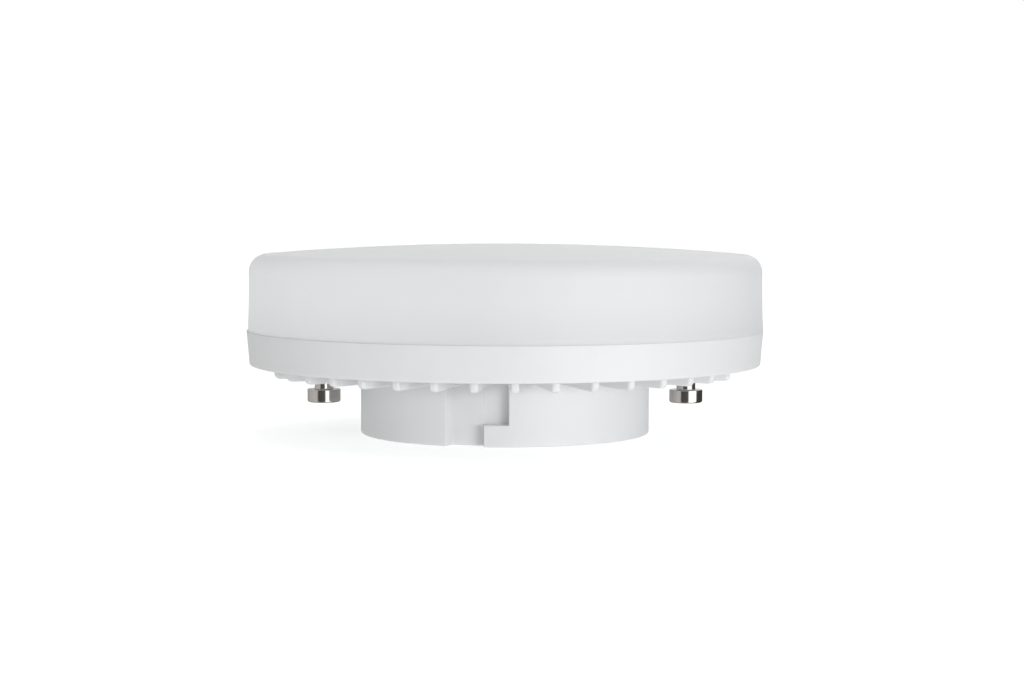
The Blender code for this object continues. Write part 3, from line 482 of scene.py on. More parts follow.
BOSS_R, BOSS_BORE, BOSS_ROOT, BOSS_END = 3.6, 1.685, 11.4, 9.8
BOARD_BOSS_PLACE, DRIVER_POST_PLACE = 28.2, 13.65
boss = np.concatenate([
    [(BOSS_R, BOSS_ROOT), (BOSS_R, 10.4)],
    bend(BOSS_R - 0.25, BOSS_END + 0.25, 0.25, 0.0, -90.0, 4),
    [(1.8, BOSS_END), (1.72, BOSS_END + 0.03), (BOSS_BORE, BOSS_END + 0.1)],
    [(BOSS_BORE, BOSS_ROOT)],
])
board_boss = pillar(radius=2.7, bore=1.3, low=12.4, high=16.9, depth=3.7)
driver_post = pillar(radius=2.2, bore=1.3, low=1.2, high=9.0, depth=3.7)
extras = [(ring_grid(boss, 72, (x, 0.0)), True) for x in (-PIN_X, PIN_X)]
for post, radius, directions in (
    (board_boss, BOARD_BOSS_PLACE, (60, 180, 300)), (driver_post, DRIVER_POST_PLACE, (0, 180)),
):
    extras += [(ring_grid(post, 40, spot(radius, degrees)), False) for degrees in directions]
housing = surface("finned_housing", [(housing_grid, False)] + extras)
seat(housing, "housing_plastic", "housing")

# %% [markdown]
# ## The contact pins
# Each pin is turned from brass rod and nickel plated: a thin shank and a flat head, whose lower
# edge is rounded by 0.3 mm. A polished cylinder shows its edges as fine lines of light, so the
# other corners get a radius of nearly a tenth of a millimetre instead of none.

# %% Make the pins
HEAD_R, SHANK_R = 2.43, 1.385
PIN_END, HEAD_TOP = 4.3, 6.22
NECK_ROUND, CORNER_ROUND, LOWER_ROUND = 0.08, 0.09, 0.30
TAIL_R, TAIL_TOP = 1.0, 15.9
COLLAR_R, COLLAR_LOW, COLLAR_TOP = 2.3, 13.1, 13.9
pin_profile = np.concatenate([
    [(0.0, TAIL_TOP), (TAIL_R - 0.1, TAIL_TOP), (TAIL_R, TAIL_TOP - 0.1), (TAIL_R, COLLAR_TOP)],
    [(COLLAR_R - 0.1, COLLAR_TOP), (COLLAR_R, COLLAR_TOP - 0.1), (COLLAR_R, COLLAR_LOW)],
    [(SHANK_R, COLLAR_LOW), (SHANK_R, 12.0), (SHANK_R, 9.0), (SHANK_R, HEAD_TOP + 0.15)],
    bend(SHANK_R + NECK_ROUND, HEAD_TOP + NECK_ROUND, NECK_ROUND, 180.0, 270.0, 3),
    [(SHANK_R + 0.2, HEAD_TOP), (HEAD_R - 0.2, HEAD_TOP)],
    bend(HEAD_R - CORNER_ROUND, HEAD_TOP - CORNER_ROUND, CORNER_ROUND, 90.0, 0.0, 4),
    [(HEAD_R, HEAD_TOP - 0.2), (HEAD_R, PIN_END + 0.40)],
    bend(HEAD_R - LOWER_ROUND, PIN_END + LOWER_ROUND, LOWER_ROUND, -4.0, -90.0, 8),
    [(HEAD_R - 2 * LOWER_ROUND, PIN_END), (0.0, PIN_END)],
])
for name, x in (("contact_pin_left", -PIN_X), ("contact_pin_right", PIN_X)):
    pin = surface("turned_" + name, [(ring_grid(pin_profile, 96, (x, 0.0)), False)], sharp=60.0)
    seat(pin, "pin_metal", name)

# %% [markdown]
# ## Helpers for finishes
# A material is a small network of nodes. These helpers place a node with its values and join
# sockets, so that each recipe below reads as a list of what the finish is made of.

# %% Node helpers
def node(tree, kind, **values):
    """A new node: lower-case names are its properties, the others its input sockets."""
    made = tree.nodes.new(kind)
    for name, value in values.items():
        if name.islower():
            setattr(made, name, value)
        else:
            made.inputs[name.replace("_", " ")].default_value = value
    return made


def noise(tree, where, size, detail=3.0, roughness=0.55):
    """Cloudy variation whose lumps are about this many millimetres across."""
    scale = 1.0 / (size * MM)
    made = node(tree, "ShaderNodeTexNoise", Scale=scale, Detail=detail, Roughness=roughness)
    tree.links.new(where, made.inputs["Vector"])
    return made.outputs["Fac"]


def spread(tree, value, low, high, start=0.3, end=0.7):
    """The value's middle range stretched between low and high."""
    made = node(tree, "ShaderNodeMapRange", From_Min=start, From_Max=end, To_Min=low, To_Max=high)
    tree.links.new(value, made.inputs["Value"])
    return made.outputs["Result"]


def maths(tree, operation, first, second=0.0):
    """One operation on two values, each a socket or a number."""
    made = node(tree, "ShaderNodeMath", operation=operation)
    for socket, value in zip(made.inputs, (first, second)):
        if isinstance(value, (int, float)):
            socket.default_value = value
        else:
            tree.links.new(value, socket)
    return made.outputs[0]


def blend(tree, mask, first, second, mode="MIX"):
    """One colour over another where the mask is white."""
    made = node(tree, "ShaderNodeMix", data_type="RGBA", blend_type=mode)
    sockets = [made.inputs[number] for number in (0, 6, 7)]
    for socket, value in zip(sockets, (mask, first, second)):
        if isinstance(value, (int, float)):
            socket.default_value = value
        elif isinstance(value, tuple):
            socket.default_value = (*value, 1.0)
        else:
            tree.links.new(value, socket)
    return made.outputs[2]


def new_group(name, inputs, outputs):
    """An empty shader group with named number sockets, and its two end nodes."""
    tree = bpy.data.node_groups.new(name, "ShaderNodeTree")
    tree.interface.new_socket("Vector", in_out="INPUT", socket_type="NodeSocketVector")
    for title, value in inputs.items():
        socket = tree.interface.new_socket(title, in_out="INPUT", socket_type="NodeSocketFloat")
        socket.default_value = value
    for title in outputs:
        tree.interface.new_socket(title, in_out="OUTPUT", socket_type="NodeSocketFloat")
    return tree, tree.nodes.new("NodeGroupInput"), tree.nodes.new("NodeGroupOutput")


def new_material(name, **values):
    """A material with its Principled shader set, and its object coordinates."""
    made = bpy.data.materials.new(name)
    made.use_nodes = True
    tree = made.node_tree
    shader = tree.nodes["Principled BSDF"]
    for title, value in values.items():
        shader.inputs[title.replace("_", " ")].default_value = value
    where = node(tree, "ShaderNodeTexCoord").outputs["Object"]
    return made, tree, shader, where


def use_group(tree, group, where, **values):
    """A group node fed with coordinates and this material's own values."""
    made = node(tree, "ShaderNodeGroup", node_tree=group)
    tree.links.new(where, made.inputs["Vector"])
    for title, value in values.items():
        made.inputs[title.replace("_", " ")].default_value = value
    return made.outputs


def relief(tree, shader, height, depth):
    """The height, so many millimetres from lowest to highest, bends the shader's normal."""
    made = node(tree, "ShaderNodeBump", Strength=1.0, Distance=depth * MM)
    tree.links.new(height, made.inputs["Height"])
    tree.links.new(made.outputs["Normal"], shader.inputs["Normal"])

# %% [markdown]
# ## Effects that several finishes share
# Moulded plastic takes the texture of its mould: a fine spark-eroded grain, with slow changes of
# tone where the melt flowed and cooled. Turned metal carries the tool's rings, and everything
# that is handled has faint smudges. Each effect is a group with its own inputs, built once.

# %% Build the moulded grain
moulded, start, end = new_group(
    "moulded_skin", {"Grain": 0.12, "Flow": 9.0}, ("Tone", "Height", "Sheen Spread"),
)
grain_scale = maths(moulded, "DIVIDE", 1.0 / MM, start.outputs["Grain"])
flow_scale = maths(moulded, "DIVIDE", 1.0 / MM, start.outputs["Flow"])
fine_noise = node(moulded, "ShaderNodeTexNoise", Detail=2.0, Roughness=0.6)
flow_noise = node(moulded, "ShaderNodeTexNoise", Detail=4.0, Roughness=0.5, Distortion=0.4)
for made, scale in ((fine_noise, grain_scale), (flow_noise, flow_scale)):
    moulded.links.new(start.outputs["Vector"], made.inputs["Vector"])
    moulded.links.new(scale, made.inputs["Scale"])
moulded.links.new(spread(moulded, flow_noise.outputs["Fac"], 0.0, 1.0), end.inputs["Tone"])
moulded.links.new(fine_noise.outputs["Fac"], end.inputs["Height"])
fine_shine = spread(moulded, fine_noise.outputs["Fac"], -0.6, 0.6)
flow_shine = spread(moulded, flow_noise.outputs["Fac"], -0.4, 0.4)
moulded.links.new(maths(moulded, "ADD", fine_shine, flow_shine), end.inputs["Sheen Spread"])
print("group", moulded.name, "ready")

# %% Build the turned rings
turned, start, end = new_group("turned_rings", {"Pitch": 0.05}, ("Rings", "Smudge"))
apart = node(turned, "ShaderNodeSeparateXYZ")
turned.links.new(start.outputs["Vector"], apart.inputs[0])
flat = node(turned, "ShaderNodeCombineXYZ")
turned.links.new(apart.outputs["X"], flat.inputs["X"])
turned.links.new(apart.outputs["Y"], flat.inputs["Y"])
length = node(turned, "ShaderNodeVectorMath", operation="LENGTH")
turned.links.new(flat.outputs[0], length.inputs[0])
# On a face the rings lie at one radius, and on a side at one height, so their sum serves both.
reach = maths(turned, "ADD", length.outputs["Value"], apart.outputs["Z"])
along = maths(turned, "DIVIDE", maths(turned, "DIVIDE", reach, MM), start.outputs["Pitch"])
line = node(
    turned, "ShaderNodeTexNoise", noise_dimensions="1D", Scale=1.0, Detail=3.0, Roughness=0.7,
)
turned.links.new(along, line.inputs["W"])
turned.links.new(line.outputs["Fac"], end.inputs["Rings"])
clouds = noise(turned, start.outputs["Vector"], 1.6)
turned.links.new(spread(turned, clouds, 0.0, 1.0), end.inputs["Smudge"])
print("group", turned.name, "ready")

# %% [markdown]
# ## Plastics
# The housing is a white thermoplastic with a satin skin. The cover is the same family of white,
# but opal: light goes in a little way and comes out again, which softens its shading. Both are
# slightly cool in tone. The tone varies by a few parts in a hundred, the gloss by a little more.

# %% Plastic recipe
def plastic(
    name, colour, second, rough, grain=0.12, depth=0.0015, flow=9.0, uneven=0.05, **values
):
    """Two near tones blended by the flow, gloss varied by grain and flow, and a fine relief.

    Grain, depth and flow are in millimetres; other values go to the shader's sockets."""
    made, tree, shader, where = new_material(name, **values)
    skin = use_group(tree, moulded, where, Grain=grain, Flow=flow)
    tree.links.new(blend(tree, skin["Tone"], colour, second), shader.inputs["Base Color"])
    gloss = maths(tree, "ADD", maths(tree, "MULTIPLY", skin["Sheen Spread"], uneven), rough)
    tree.links.new(gloss, shader.inputs["Roughness"])
    relief(tree, shader, skin["Height"], depth)
    return made

# %% Housing and cover
finishes = {}
finishes["housing_plastic"] = plastic(
    "satin_white_plastic", (0.802, 0.813, 0.819), (0.826, 0.836, 0.842), 0.42,
    Subsurface_Weight=0.3, Subsurface_Radius=(1.0, 1.0, 1.0), Subsurface_Scale=0.5 * MM,
)
finishes["diffuser_plastic"] = plastic(
    "frosted_opal_plastic", (0.766, 0.775, 0.784), (0.780, 0.789, 0.798), 0.52,
    grain=0.08, depth=0.001, flow=14.0,
    Subsurface_Weight=0.3, Subsurface_Radius=(1.0, 1.0, 1.0), Subsurface_Scale=0.25 * MM,
)
# Painted shade: the cover's base colour is darkened to FOOT_SHADE towards its foot, where the
# housing stands behind the opal wall and takes light out of it.
SHADED_LOW, SHADED_TOP, FOOT_SHADE = 14.0, 21.0, 0.93
tree = finishes["diffuser_plastic"].node_tree
base = tree.nodes["Principled BSDF"].inputs["Base Color"]
height = node(tree, "ShaderNodeSeparateXYZ")
tree.links.new(node(tree, "ShaderNodeTexCoord").outputs["Object"], height.inputs[0])
painted_foot_shade = node(
    tree, "ShaderNodeMapRange", interpolation_type="SMOOTHSTEP",
    From_Min=SHADED_LOW * MM, From_Max=SHADED_TOP * MM,
)
tree.links.new(height.outputs["Z"], painted_foot_shade.inputs["Value"])
# painted shade over the base colour, darkest at the cover's foot
shade = blend(tree, painted_foot_shade.outputs["Result"], (FOOT_SHADE,) * 3, (1.0, 1.0, 1.0))
tree.links.new(blend(tree, 1.0, base.links[0].from_socket, shade, "MULTIPLY"), base)
cover.data.materials.append(finishes["diffuser_plastic"])
housing.data.materials.append(finishes["housing_plastic"])
print("the cover and the housing have their plastics")

# %% [markdown]
# ## Metals
# Nickel is a warm, fairly dark metal, so a polished pin shows the studio and not its own colour.
# The tool's rings run round it, and a faint bloom dulls it in patches.

# %% Metal recipe
SMUDGED, SMUDGE_ROUGH = 0.86, 0.05  # a smudge's tone, and what it adds to the roughness


def metal(name, colour, rough, pitch, depth, centre=(0.0, 0.0), **values):
    """A metal whose rings vary its gloss and relief, and whose smudges dull it."""
    made, tree, shader, where = new_material(name, Metallic=1.0, **values)
    centred = node(tree, "ShaderNodeMapping", Location=(-centre[0] * MM, -centre[1] * MM, 0.0))
    tree.links.new(where, centred.inputs["Vector"])
    marks = use_group(tree, turned, centred.outputs["Vector"], Pitch=pitch)
    darker = tuple(SMUDGED * part for part in colour)
    tree.links.new(blend(tree, marks["Smudge"], colour, darker), shader.inputs["Base Color"])
    ring_gloss = spread(tree, marks["Rings"], rough * 0.7, rough * 1.3)
    dulled = maths(tree, "MULTIPLY", marks["Smudge"], SMUDGE_ROUGH)
    gloss = maths(tree, "ADD", ring_gloss, dulled)
    tree.links.new(gloss, shader.inputs["Roughness"])
    relief(tree, shader, marks["Rings"], depth)
    return made


for name, x in (("turned_contact_pin_left", -PIN_X), ("turned_contact_pin_right", PIN_X)):
    nickel = metal("nickel_plate", (0.53, 0.510, 0.490), 0.10, 0.06, 0.0004, (x, 0.0))
    bpy.data.objects[name].data.materials.append(nickel)
print("both pins are nickel plated")

# %% [markdown]
# ## Inside the lamp
# The pieces under the cover keep the engineering model's shapes and get their own finishes.
# Each record slot has one recipe, and every node that names the slot receives it.

# %% Choose the inner finishes
finishes["spreader_metal"] = metal("pressed_aluminium", (0.77, 0.775, 0.78), 0.32, 0.9, 0.002)
finishes["screw_steel"] = metal("zinc_plated_steel", (0.60, 0.61, 0.63), 0.28, 0.2, 0.002)
RECIPES = {
    "led_board_coating": (
        "white_solder_mask", (0.86, 0.86, 0.84), (0.90, 0.90, 0.88), 0.34,
        {"grain": 0.3, "depth": 0.002},
    ),
    "led_package": (
        "white_led_frame", (0.84, 0.84, 0.82), (0.88, 0.88, 0.86), 0.45,
        {"grain": 0.1, "depth": 0.002, "flow": 1.5},
    ),
    "driver_board_laminate": (
        "green_solder_mask", (0.03, 0.17, 0.07), (0.06, 0.25, 0.11), 0.34,
        {"grain": 0.5, "depth": 0.01, "flow": 1.2},
    ),
    "capacitor_sleeve": (
        "shrink_sleeve", (0.025, 0.025, 0.03), (0.04, 0.04, 0.045), 0.32,
        {"grain": 0.4, "depth": 0.004, "flow": 3.0},
    ),
    "ferrite": (
        "sintered_ferrite", (0.07, 0.07, 0.08), (0.11, 0.11, 0.12), 0.62,
        {"grain": 0.15, "depth": 0.012, "flow": 2.0, "uneven": 0.1},
    ),
    "winding_tape": (
        "polyester_tape", (0.78, 0.56, 0.08), (0.84, 0.66, 0.14), 0.38,
        {"grain": 0.8, "depth": 0.01, "flow": 2.5},
    ),
    "film_case": (
        "dipped_epoxy", (0.50, 0.08, 0.05), (0.60, 0.13, 0.08), 0.30,
        {"grain": 1.2, "depth": 0.02, "flow": 2.5},
    ),
    "chip_case": (
        "moulded_epoxy", (0.018, 0.018, 0.019), (0.03, 0.03, 0.032), 0.55,
        {"grain": 0.08, "depth": 0.004, "flow": 2.0},
    ),
    "fuse_body": (
        "cement_lacquer", (0.10, 0.31, 0.26), (0.14, 0.38, 0.33), 0.50,
        {"grain": 0.25, "depth": 0.01, "flow": 1.5},
    ),
}
for slot, (name, colour, second, rough, texture) in RECIPES.items():
    finishes[slot] = plastic(name, colour, second, rough, **texture)

WIRES = {
    "blue": ((0.04, 0.12, 0.42), (0.06, 0.16, 0.48)),
    "brown": ((0.19, 0.085, 0.04), (0.25, 0.12, 0.06)),
    "black": ((0.022, 0.022, 0.024), (0.038, 0.038, 0.04)),
    "red": ((0.52, 0.03, 0.03), (0.62, 0.05, 0.045)),
}
for name, (colour, second) in WIRES.items():
    finishes["wire_" + name] = plastic(
        name + "_insulation", colour, second, 0.40, grain=0.3, depth=0.003, flow=4.0,
    )
print(len(finishes), "finishes so far")

# %% [markdown]
# ### Marks
# Parts of a circuit are known by their marks: the yellow gel in a light source's white frame, the
# tracks under the board's lacquer, the stripe down a can's sleeve, the bands round a resistor. A
# mark is a mask worked out from the coordinates, so it needs no picture, and it is painted over
# the finish with a gloss of its own.

# %% Helpers for marks
def in_mm(tree, where):
    """The three coordinates in millimetres."""
    larger = node(tree, "ShaderNodeVectorMath", operation="SCALE", Scale=1.0 / MM)
    tree.links.new(where, larger.inputs[0])
    parts = node(tree, "ShaderNodeSeparateXYZ")
    tree.links.new(larger.outputs[0], parts.inputs[0])
    return parts.outputs


def near(tree, value, middle, half):
    """1 where the value is at most half away from the middle, else 0."""
    made = node(tree, "ShaderNodeMath", operation="COMPARE")
    tree.links.new(value, made.inputs[0])
    for socket, number in zip(made.inputs[1:], (middle, half)):
        if isinstance(number, (int, float)):
            socket.default_value = number
        else:
            tree.links.new(number, socket)
    return made.outputs[0]


def every(tree, value, pitch, half):
    """1 on stripes of twice half's width, one in the middle of each pitch."""
    return near(tree, maths(tree, "FLOORED_MODULO", value, pitch), pitch / 2, half)


def both(tree, *masks):
    """1 where all the masks are 1: their product."""
    made = masks[0]
    for mask in masks[1:]:
        made = maths(tree, "MULTIPLY", made, mask)
    return made


def apart_from(tree, first, second):
    """Distance in plan: the root of the sum of the two squares."""
    squares = [maths(tree, "POWER", value, 2.0) for value in (first, second)]
    return maths(tree, "SQRT", maths(tree, "ADD", *squares))


def paint(slot, mask, colour, rough):
    """Over what the finish has: the colour where the mask is 1, and its roughness too."""
    tree = finishes[slot].node_tree
    inputs = tree.nodes["Principled BSDF"].inputs
    base, gloss = inputs["Base Color"], inputs["Roughness"]
    tree.links.new(blend(tree, mask, base.links[0].from_socket, colour), base)
    before = gloss.links[0].from_socket
    change = maths(tree, "MULTIPLY", maths(tree, "SUBTRACT", rough, before), mask)
    tree.links.new(maths(tree, "ADD", before, change), gloss)


def open_finish(slot):
    """The finish's tree, its object coordinates, and those in millimetres."""
    tree = finishes[slot].node_tree
    where = node(tree, "ShaderNodeTexCoord").outputs["Object"]
    return tree, where, in_mm(tree, where)

# %% Gel in the light sources
INNER_RING_R, OUTER_RING_R = 12.5, 23.6
BETWEEN_RINGS = 18.0
GEL_HALF = (1.0, 1.35)
GEL_FROM = 20.5  # a height between a light source's foot and its top face
# Two rings of light sources lie round the axis. The angle is folded to one of them, and its sine
# and cosine times the radius give the place on that source, whichever it is.
tree, where, (x, y, z) = open_finish("led_package")
radius = apart_from(tree, x, y)
outer_ring = maths(tree, "GREATER_THAN", radius, BETWEEN_RINGS)
step = maths(tree, "SUBTRACT", math.tau / 6, maths(tree, "MULTIPLY", outer_ring, math.tau / 12))
turn = maths(tree, "ARCTAN2", x, maths(tree, "MULTIPLY", y, -1.0))
turn = maths(tree, "FLOORED_MODULO", turn, step)
turn = maths(tree, "SUBTRACT", turn, maths(tree, "MULTIPLY", step, 0.5))
ring_r = maths(tree, "MULTIPLY", outer_ring, OUTER_RING_R - INNER_RING_R)
ring_r = maths(tree, "ADD", ring_r, INNER_RING_R)
outwards = maths(tree, "MULTIPLY", maths(tree, "COSINE", turn), radius)
sideways = maths(tree, "MULTIPLY", maths(tree, "SINE", turn), radius)
across_gel = near(tree, outwards, ring_r, GEL_HALF[0])
on_gel = both(tree, across_gel, near(tree, sideways, 0.0, GEL_HALF[1]))
window = both(tree, on_gel, maths(tree, "GREATER_THAN", z, GEL_FROM))
paint("led_package", window, (0.90, 0.70, 0.18), 0.25)
print("each light source has a gel window")

# %% Tracks and pads on the boards
TRACK_PITCH, TRACK_HALF = 1.27, 0.25
PAD_PITCH, PAD_HALF = 2.54, 0.4
SOLDER = (0.62, 0.62, 0.60)
tree, where, (x, y, z) = open_finish("driver_board_laminate")
patch = noise(tree, where, 3.5)
along_x = every(tree, y, TRACK_PITCH, TRACK_HALF)
lengthways = both(tree, along_x, maths(tree, "GREATER_THAN", patch, 0.5))
along_y = every(tree, x, TRACK_PITCH, TRACK_HALF)
crossways = both(tree, along_y, maths(tree, "LESS_THAN", patch, 0.5))
tracks = maths(tree, "MAXIMUM", lengthways, crossways)
paint("driver_board_laminate", tracks, (0.09, 0.34, 0.15), 0.28)
on_pad = both(tree, every(tree, x, PAD_PITCH, PAD_HALF), every(tree, y, PAD_PITCH, PAD_HALF))
pad = both(tree, on_pad, maths(tree, "GREATER_THAN", noise(tree, where, 1.4), 0.55))
paint("driver_board_laminate", pad, SOLDER, 0.30)

tree, where, (x, y, z) = open_finish("led_board_coating")
radius = apart_from(tree, x, y)
inner_track, outer_track = (near(tree, radius, r, 0.9) for r in (INNER_RING_R, OUTER_RING_R))
rings = maths(tree, "MAXIMUM", inner_track, outer_track)
paint("led_board_coating", rings, (0.80, 0.80, 0.77), 0.26)
paint("led_board_coating", near(tree, radius, 4.4, 0.5), SOLDER, 0.30)
print("tracks and pads are on two boards")

# %% Stripe, bands and dimple
tree, where, (x, y, z) = open_finish("capacitor_sleeve")
facing = node(tree, "ShaderNodeSeparateXYZ")
tree.links.new(node(tree, "ShaderNodeNewGeometry").outputs["Normal"], facing.inputs[0])
one_side = near(tree, facing.outputs["X"], 0.65, 0.22)
stripe = both(tree, one_side, maths(tree, "LESS_THAN", facing.outputs["Z"], 0.0))
paint("capacitor_sleeve", stripe, (0.42, 0.43, 0.45), 0.34)
can_end = maths(tree, "GREATER_THAN", maths(tree, "ABSOLUTE", facing.outputs["Y"]), 0.8)
paint("capacitor_sleeve", can_end, (0.66, 0.66, 0.67), 0.38)

BROWN, BLACK, GOLD = (0.20, 0.08, 0.03), (0.02, 0.02, 0.02), (0.55, 0.38, 0.10)
tree, where, (x, y, z) = open_finish("fuse_body")
for place, colour in ((4.6, BROWN), (5.5, BLACK), (6.4, BLACK), (7.9, GOLD)):
    paint("fuse_body", near(tree, x, place, 0.28), colour, 0.42)

tree, where, (x, y, z) = open_finish("winding_tape")
paint("winding_tape", every(tree, z, 1.1, 0.05), (0.52, 0.34, 0.04), 0.50)

DIMPLE = (6.9, 9.8)
tree, where, (x, y, z) = open_finish("chip_case")
offsets = [maths(tree, "SUBTRACT", value, place) for value, place in zip((x, y), DIMPLE)]
corner = apart_from(tree, *offsets)
paint("chip_case", maths(tree, "LESS_THAN", corner, 0.4), (0.05, 0.05, 0.052), 0.30)
print("the driver's parts have their marks")

# %% Put the finishes on
dressed = {}
for name, part in nodes.items():
    slot = part.material_slots[0].material.name.split(".")[0]
    if slot not in finishes or part.hide_render:
        continue
    part.material_slots[0].material = finishes[slot]
    dressed.setdefault(slot, []).append(name)
for slot, names in dressed.items():
    print(slot, "on", len(names), "pieces")

# %% [markdown]
# ## The studio
# White plastic on a white ground needs light that differs from side to side, or it goes flat.
# A wide panel stands to the right of the camera, low enough to reach the hub under the rim. One
# behind the lamp and one overhead keep the crown as white as the sides. The fourth lights the
# cover alone: a real opal cover is hollow, and light that enters it on the right wanders about
# inside and comes out on the left, which the shader's short scatter can't do. The surroundings
# that the metal mirrors are upright bands: a dark gap where the camera stands, a bright panel on
# the right and a dull wall on the left.

# %% Light the lamp
PANEL_FAR, AIM_HEIGHT = 0.9, 0.015  # metres: each panel's distance, and the height it faces


def area_light(name, azimuth, height, size, power, only=None):
    """A soft panel that faces the lamp's middle, seen by no mirror, for all or for one piece."""
    light = bpy.data.lights.new(name, "AREA")
    light.shape = "ELLIPSE"
    light.size, light.size_y = size
    light.energy = power
    lamp = bpy.data.objects.new(name, light)
    across_angle, up = math.radians(azimuth), math.radians(height)
    lamp.location = (
        PANEL_FAR * math.cos(up) * math.sin(across_angle),
        -PANEL_FAR * math.cos(up) * math.cos(across_angle),
        PANEL_FAR * math.sin(up) + AIM_HEIGHT,
    )
    lamp.rotation_euler = (math.radians(90.0) - up, 0.0, across_angle)
    lamp.visible_glossy = False
    scene.collection.objects.link(lamp)
    if only:
        lit = bpy.data.collections.new(name + "_lights")
        lit.objects.link(only)
        lamp.light_linking.receiver_collection = lit


area_light("key_panel", 29.0, 5.0, (0.44, 0.15), 2.6)
area_light("back_panel", 154.0, 27.0, (0.30, 0.30), 1.5)
area_light("ceiling_panel", 0.0, 80.0, (0.50, 0.50), 0.60)
area_light("opal_glow_left", -88.0, 8.0, (0.60, 0.60), 2.7, only=cover)
print("four panels light the lamp")

# %% Build the surroundings
MIRRORED, AMBIENT = 3.0, 0.495
WHITE_PANEL, WARMTH = 0.7, 0.975  # stops up to this level are a little warm
# Direction in degrees from the camera's side, and how bright it is there.
STOPS = [
    (-180, 0.25), (-164, 0.12), (-150, 0.17), (-110, 0.25), (-96, 0.25), (-44, 0.27), (-36, 0.035),
    (12, 0.05), (18, 0.80), (70, 0.80), (75, 0.03), (152, 0.03), (164, 0.35), (180, 0.25),
]
TABLE_SEEN, CEILING_SEEN = (0.16, 0.157, 0.153), (0.67, 0.66, 0.65)

world = bpy.data.worlds.new("studio")
scene.world = world
world.use_nodes = True
tree = world.node_tree
tree.nodes.clear()
direction = node(tree, "ShaderNodeTexCoord").outputs["Generated"]
apart = node(tree, "ShaderNodeSeparateXYZ")
tree.links.new(direction, apart.inputs[0])
turn = maths(tree, "ARCTAN2", apart.outputs["X"], maths(tree, "MULTIPLY", apart.outputs["Y"], -1.0))
part = maths(tree, "ADD", maths(tree, "DIVIDE", turn, math.tau), 0.5)
bands = node(tree, "ShaderNodeValToRGB")
tree.links.new(part, bands.inputs["Fac"])
ramp = bands.color_ramp
while len(ramp.elements) < len(STOPS):
    ramp.elements.new(0.5)
for element, (degrees, level) in zip(ramp.elements, STOPS):
    element.position = degrees / 360.0 + 0.5
# The colours come once all stops are in place, in case these are put in order on the way.
for element, (degrees, level) in zip(ramp.elements, STOPS):
    warm = 1.0 if level > WHITE_PANEL else WARMTH
    element.color = (level, warm * level, warm**2 * level, 1.0)
rays = node(tree, "ShaderNodeLightPath").outputs
mirrored = node(tree, "ShaderNodeBackground", Strength=MIRRORED)
# Far below the horizon a mirror meets the pale table, and overhead the studio's soft ceiling.
below = node(tree, "ShaderNodeMapRange", From_Min=-0.80, From_Max=-0.92)
tree.links.new(apart.outputs["Z"], below.inputs["Value"])
above = node(tree, "ShaderNodeMapRange", From_Min=0.50, From_Max=0.75)
tree.links.new(apart.outputs["Z"], above.inputs["Value"])
seen = blend(tree, below.outputs["Result"], bands.outputs["Color"], TABLE_SEEN)
seen = blend(tree, above.outputs["Result"], seen, CEILING_SEEN)
tree.links.new(seen, mirrored.inputs["Color"])
ambient = node(tree, "ShaderNodeBackground", Color=(0.985, 0.995, 1.0, 1.0), Strength=AMBIENT)
backdrop = node(tree, "ShaderNodeBackground", Color=(1.0, 1.0, 1.0, 1.0), Strength=1.0)
by_gloss = node(tree, "ShaderNodeMixShader")
tree.links.new(rays["Is Glossy Ray"], by_gloss.inputs["Fac"])
tree.links.new(ambient.outputs[0], by_gloss.inputs[1])
tree.links.new(mirrored.outputs[0], by_gloss.inputs[2])
by_camera = node(tree, "ShaderNodeMixShader")
tree.links.new(rays["Is Camera Ray"], by_camera.inputs["Fac"])
tree.links.new(by_gloss.outputs[0], by_camera.inputs[1])
tree.links.new(backdrop.outputs[0], by_camera.inputs[2])
tree.links.new(by_camera.outputs[0], node(tree, "ShaderNodeOutputWorld").inputs["Surface"])
print("the surroundings have", len(STOPS), "stops")

# %% [markdown]
# ### The floor
# The lamp stands on its hub on a wide pale floor, which glows a little as a light table does and
# sends light up between the fins. To the camera it glows more, so that it reads as the same white
# as the backdrop and only a faint shadow is left at the foot of the hub. Far off, where the panels
# don't reach, it glows a little more still. Mirrors look through it at the surroundings, as they
# would over the edge of a small table. From below it is clear, so that the fins can be looked at
# too.

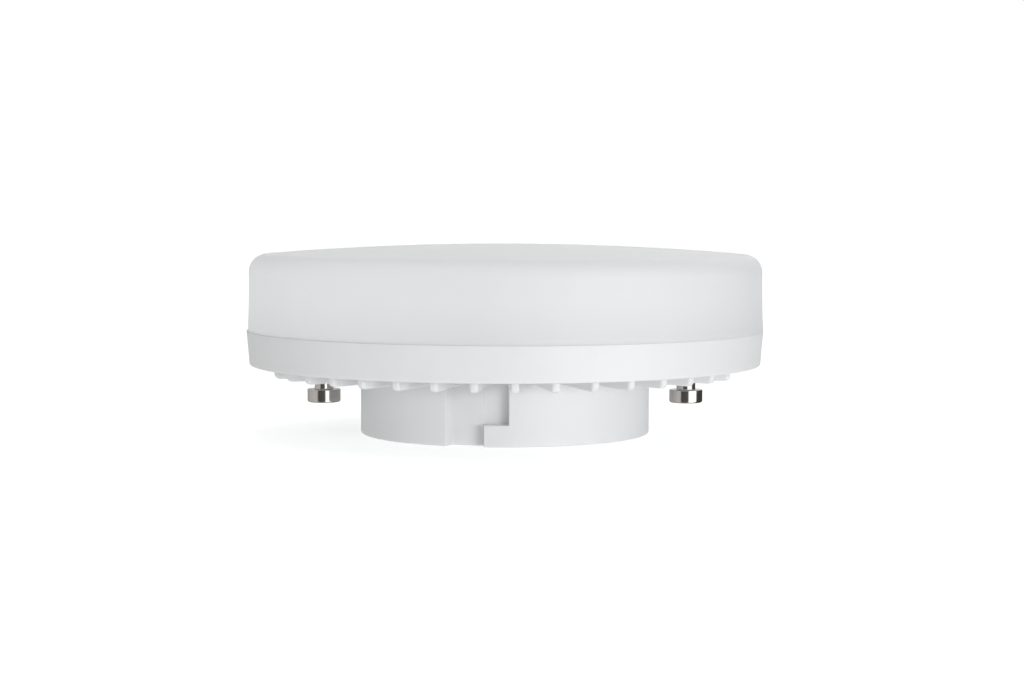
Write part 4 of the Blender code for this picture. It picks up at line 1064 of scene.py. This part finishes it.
# %% Lay the floor
FLOOR_DROP = 0.05 * MM  # clear of the hub's end, so that the two faces don't fight
FLOOR_HALF = 3.0  # metres
TABLE_GLOW, TABLE_EXTRA, FAR_EXTRA = 0.36, 0.20, 0.12
TABLE_NEAR, TABLE_FAR = 0.15, 0.70  # metres: between them the far extra comes in

mesh = bpy.data.meshes.new("floor")
signs = ((-1, -1), (1, -1), (1, 1), (-1, 1))
corners = [(x * FLOOR_HALF, y * FLOOR_HALF, -FLOOR_DROP) for x, y in signs]
mesh.from_pydata(corners, [], [(0, 1, 2, 3)])
floor_piece = bpy.data.objects.new("floor", mesh)
scene.collection.objects.link(floor_piece)
paper, tree, shader, where = new_material("floor_paper", Roughness=0.9, Specular_IOR_Level=0.0)
tone = spread(tree, noise(tree, where, 40.0), 0.0, 1.0)
shade = blend(tree, tone, (0.78, 0.78, 0.78), (0.80, 0.80, 0.80))
tree.links.new(shade, shader.inputs["Base Color"])
rays = node(tree, "ShaderNodeLightPath").outputs
distance = node(tree, "ShaderNodeVectorMath", operation="LENGTH")
tree.links.new(where, distance.inputs[0])
far_off = node(tree, "ShaderNodeMapRange", From_Min=TABLE_NEAR, From_Max=TABLE_FAR)
tree.links.new(distance.outputs["Value"], far_off.inputs["Value"])
extra = maths(tree, "MULTIPLY", far_off.outputs["Result"], FAR_EXTRA)
extra = maths(tree, "ADD", extra, TABLE_EXTRA)
glow = maths(tree, "ADD", maths(tree, "MULTIPLY", rays["Is Camera Ray"], extra), TABLE_GLOW)
shader.inputs["Emission Color"].default_value = (1.0, 1.0, 1.0, 1.0)
tree.links.new(glow, shader.inputs["Emission Strength"])
see_past = node(tree, "ShaderNodeBsdfTransparent")
pick = node(tree, "ShaderNodeMixShader")
from_below = node(tree, "ShaderNodeNewGeometry").outputs["Backfacing"]
tree.links.new(maths(tree, "MAXIMUM", rays["Is Glossy Ray"], from_below), pick.inputs["Fac"])
tree.links.new(shader.outputs[0], pick.inputs[1])
tree.links.new(see_past.outputs[0], pick.inputs[2])
tree.links.new(pick.outputs[0], tree.nodes["Material Output"].inputs["Surface"])
mesh.materials.append(paper)
print("floor laid")
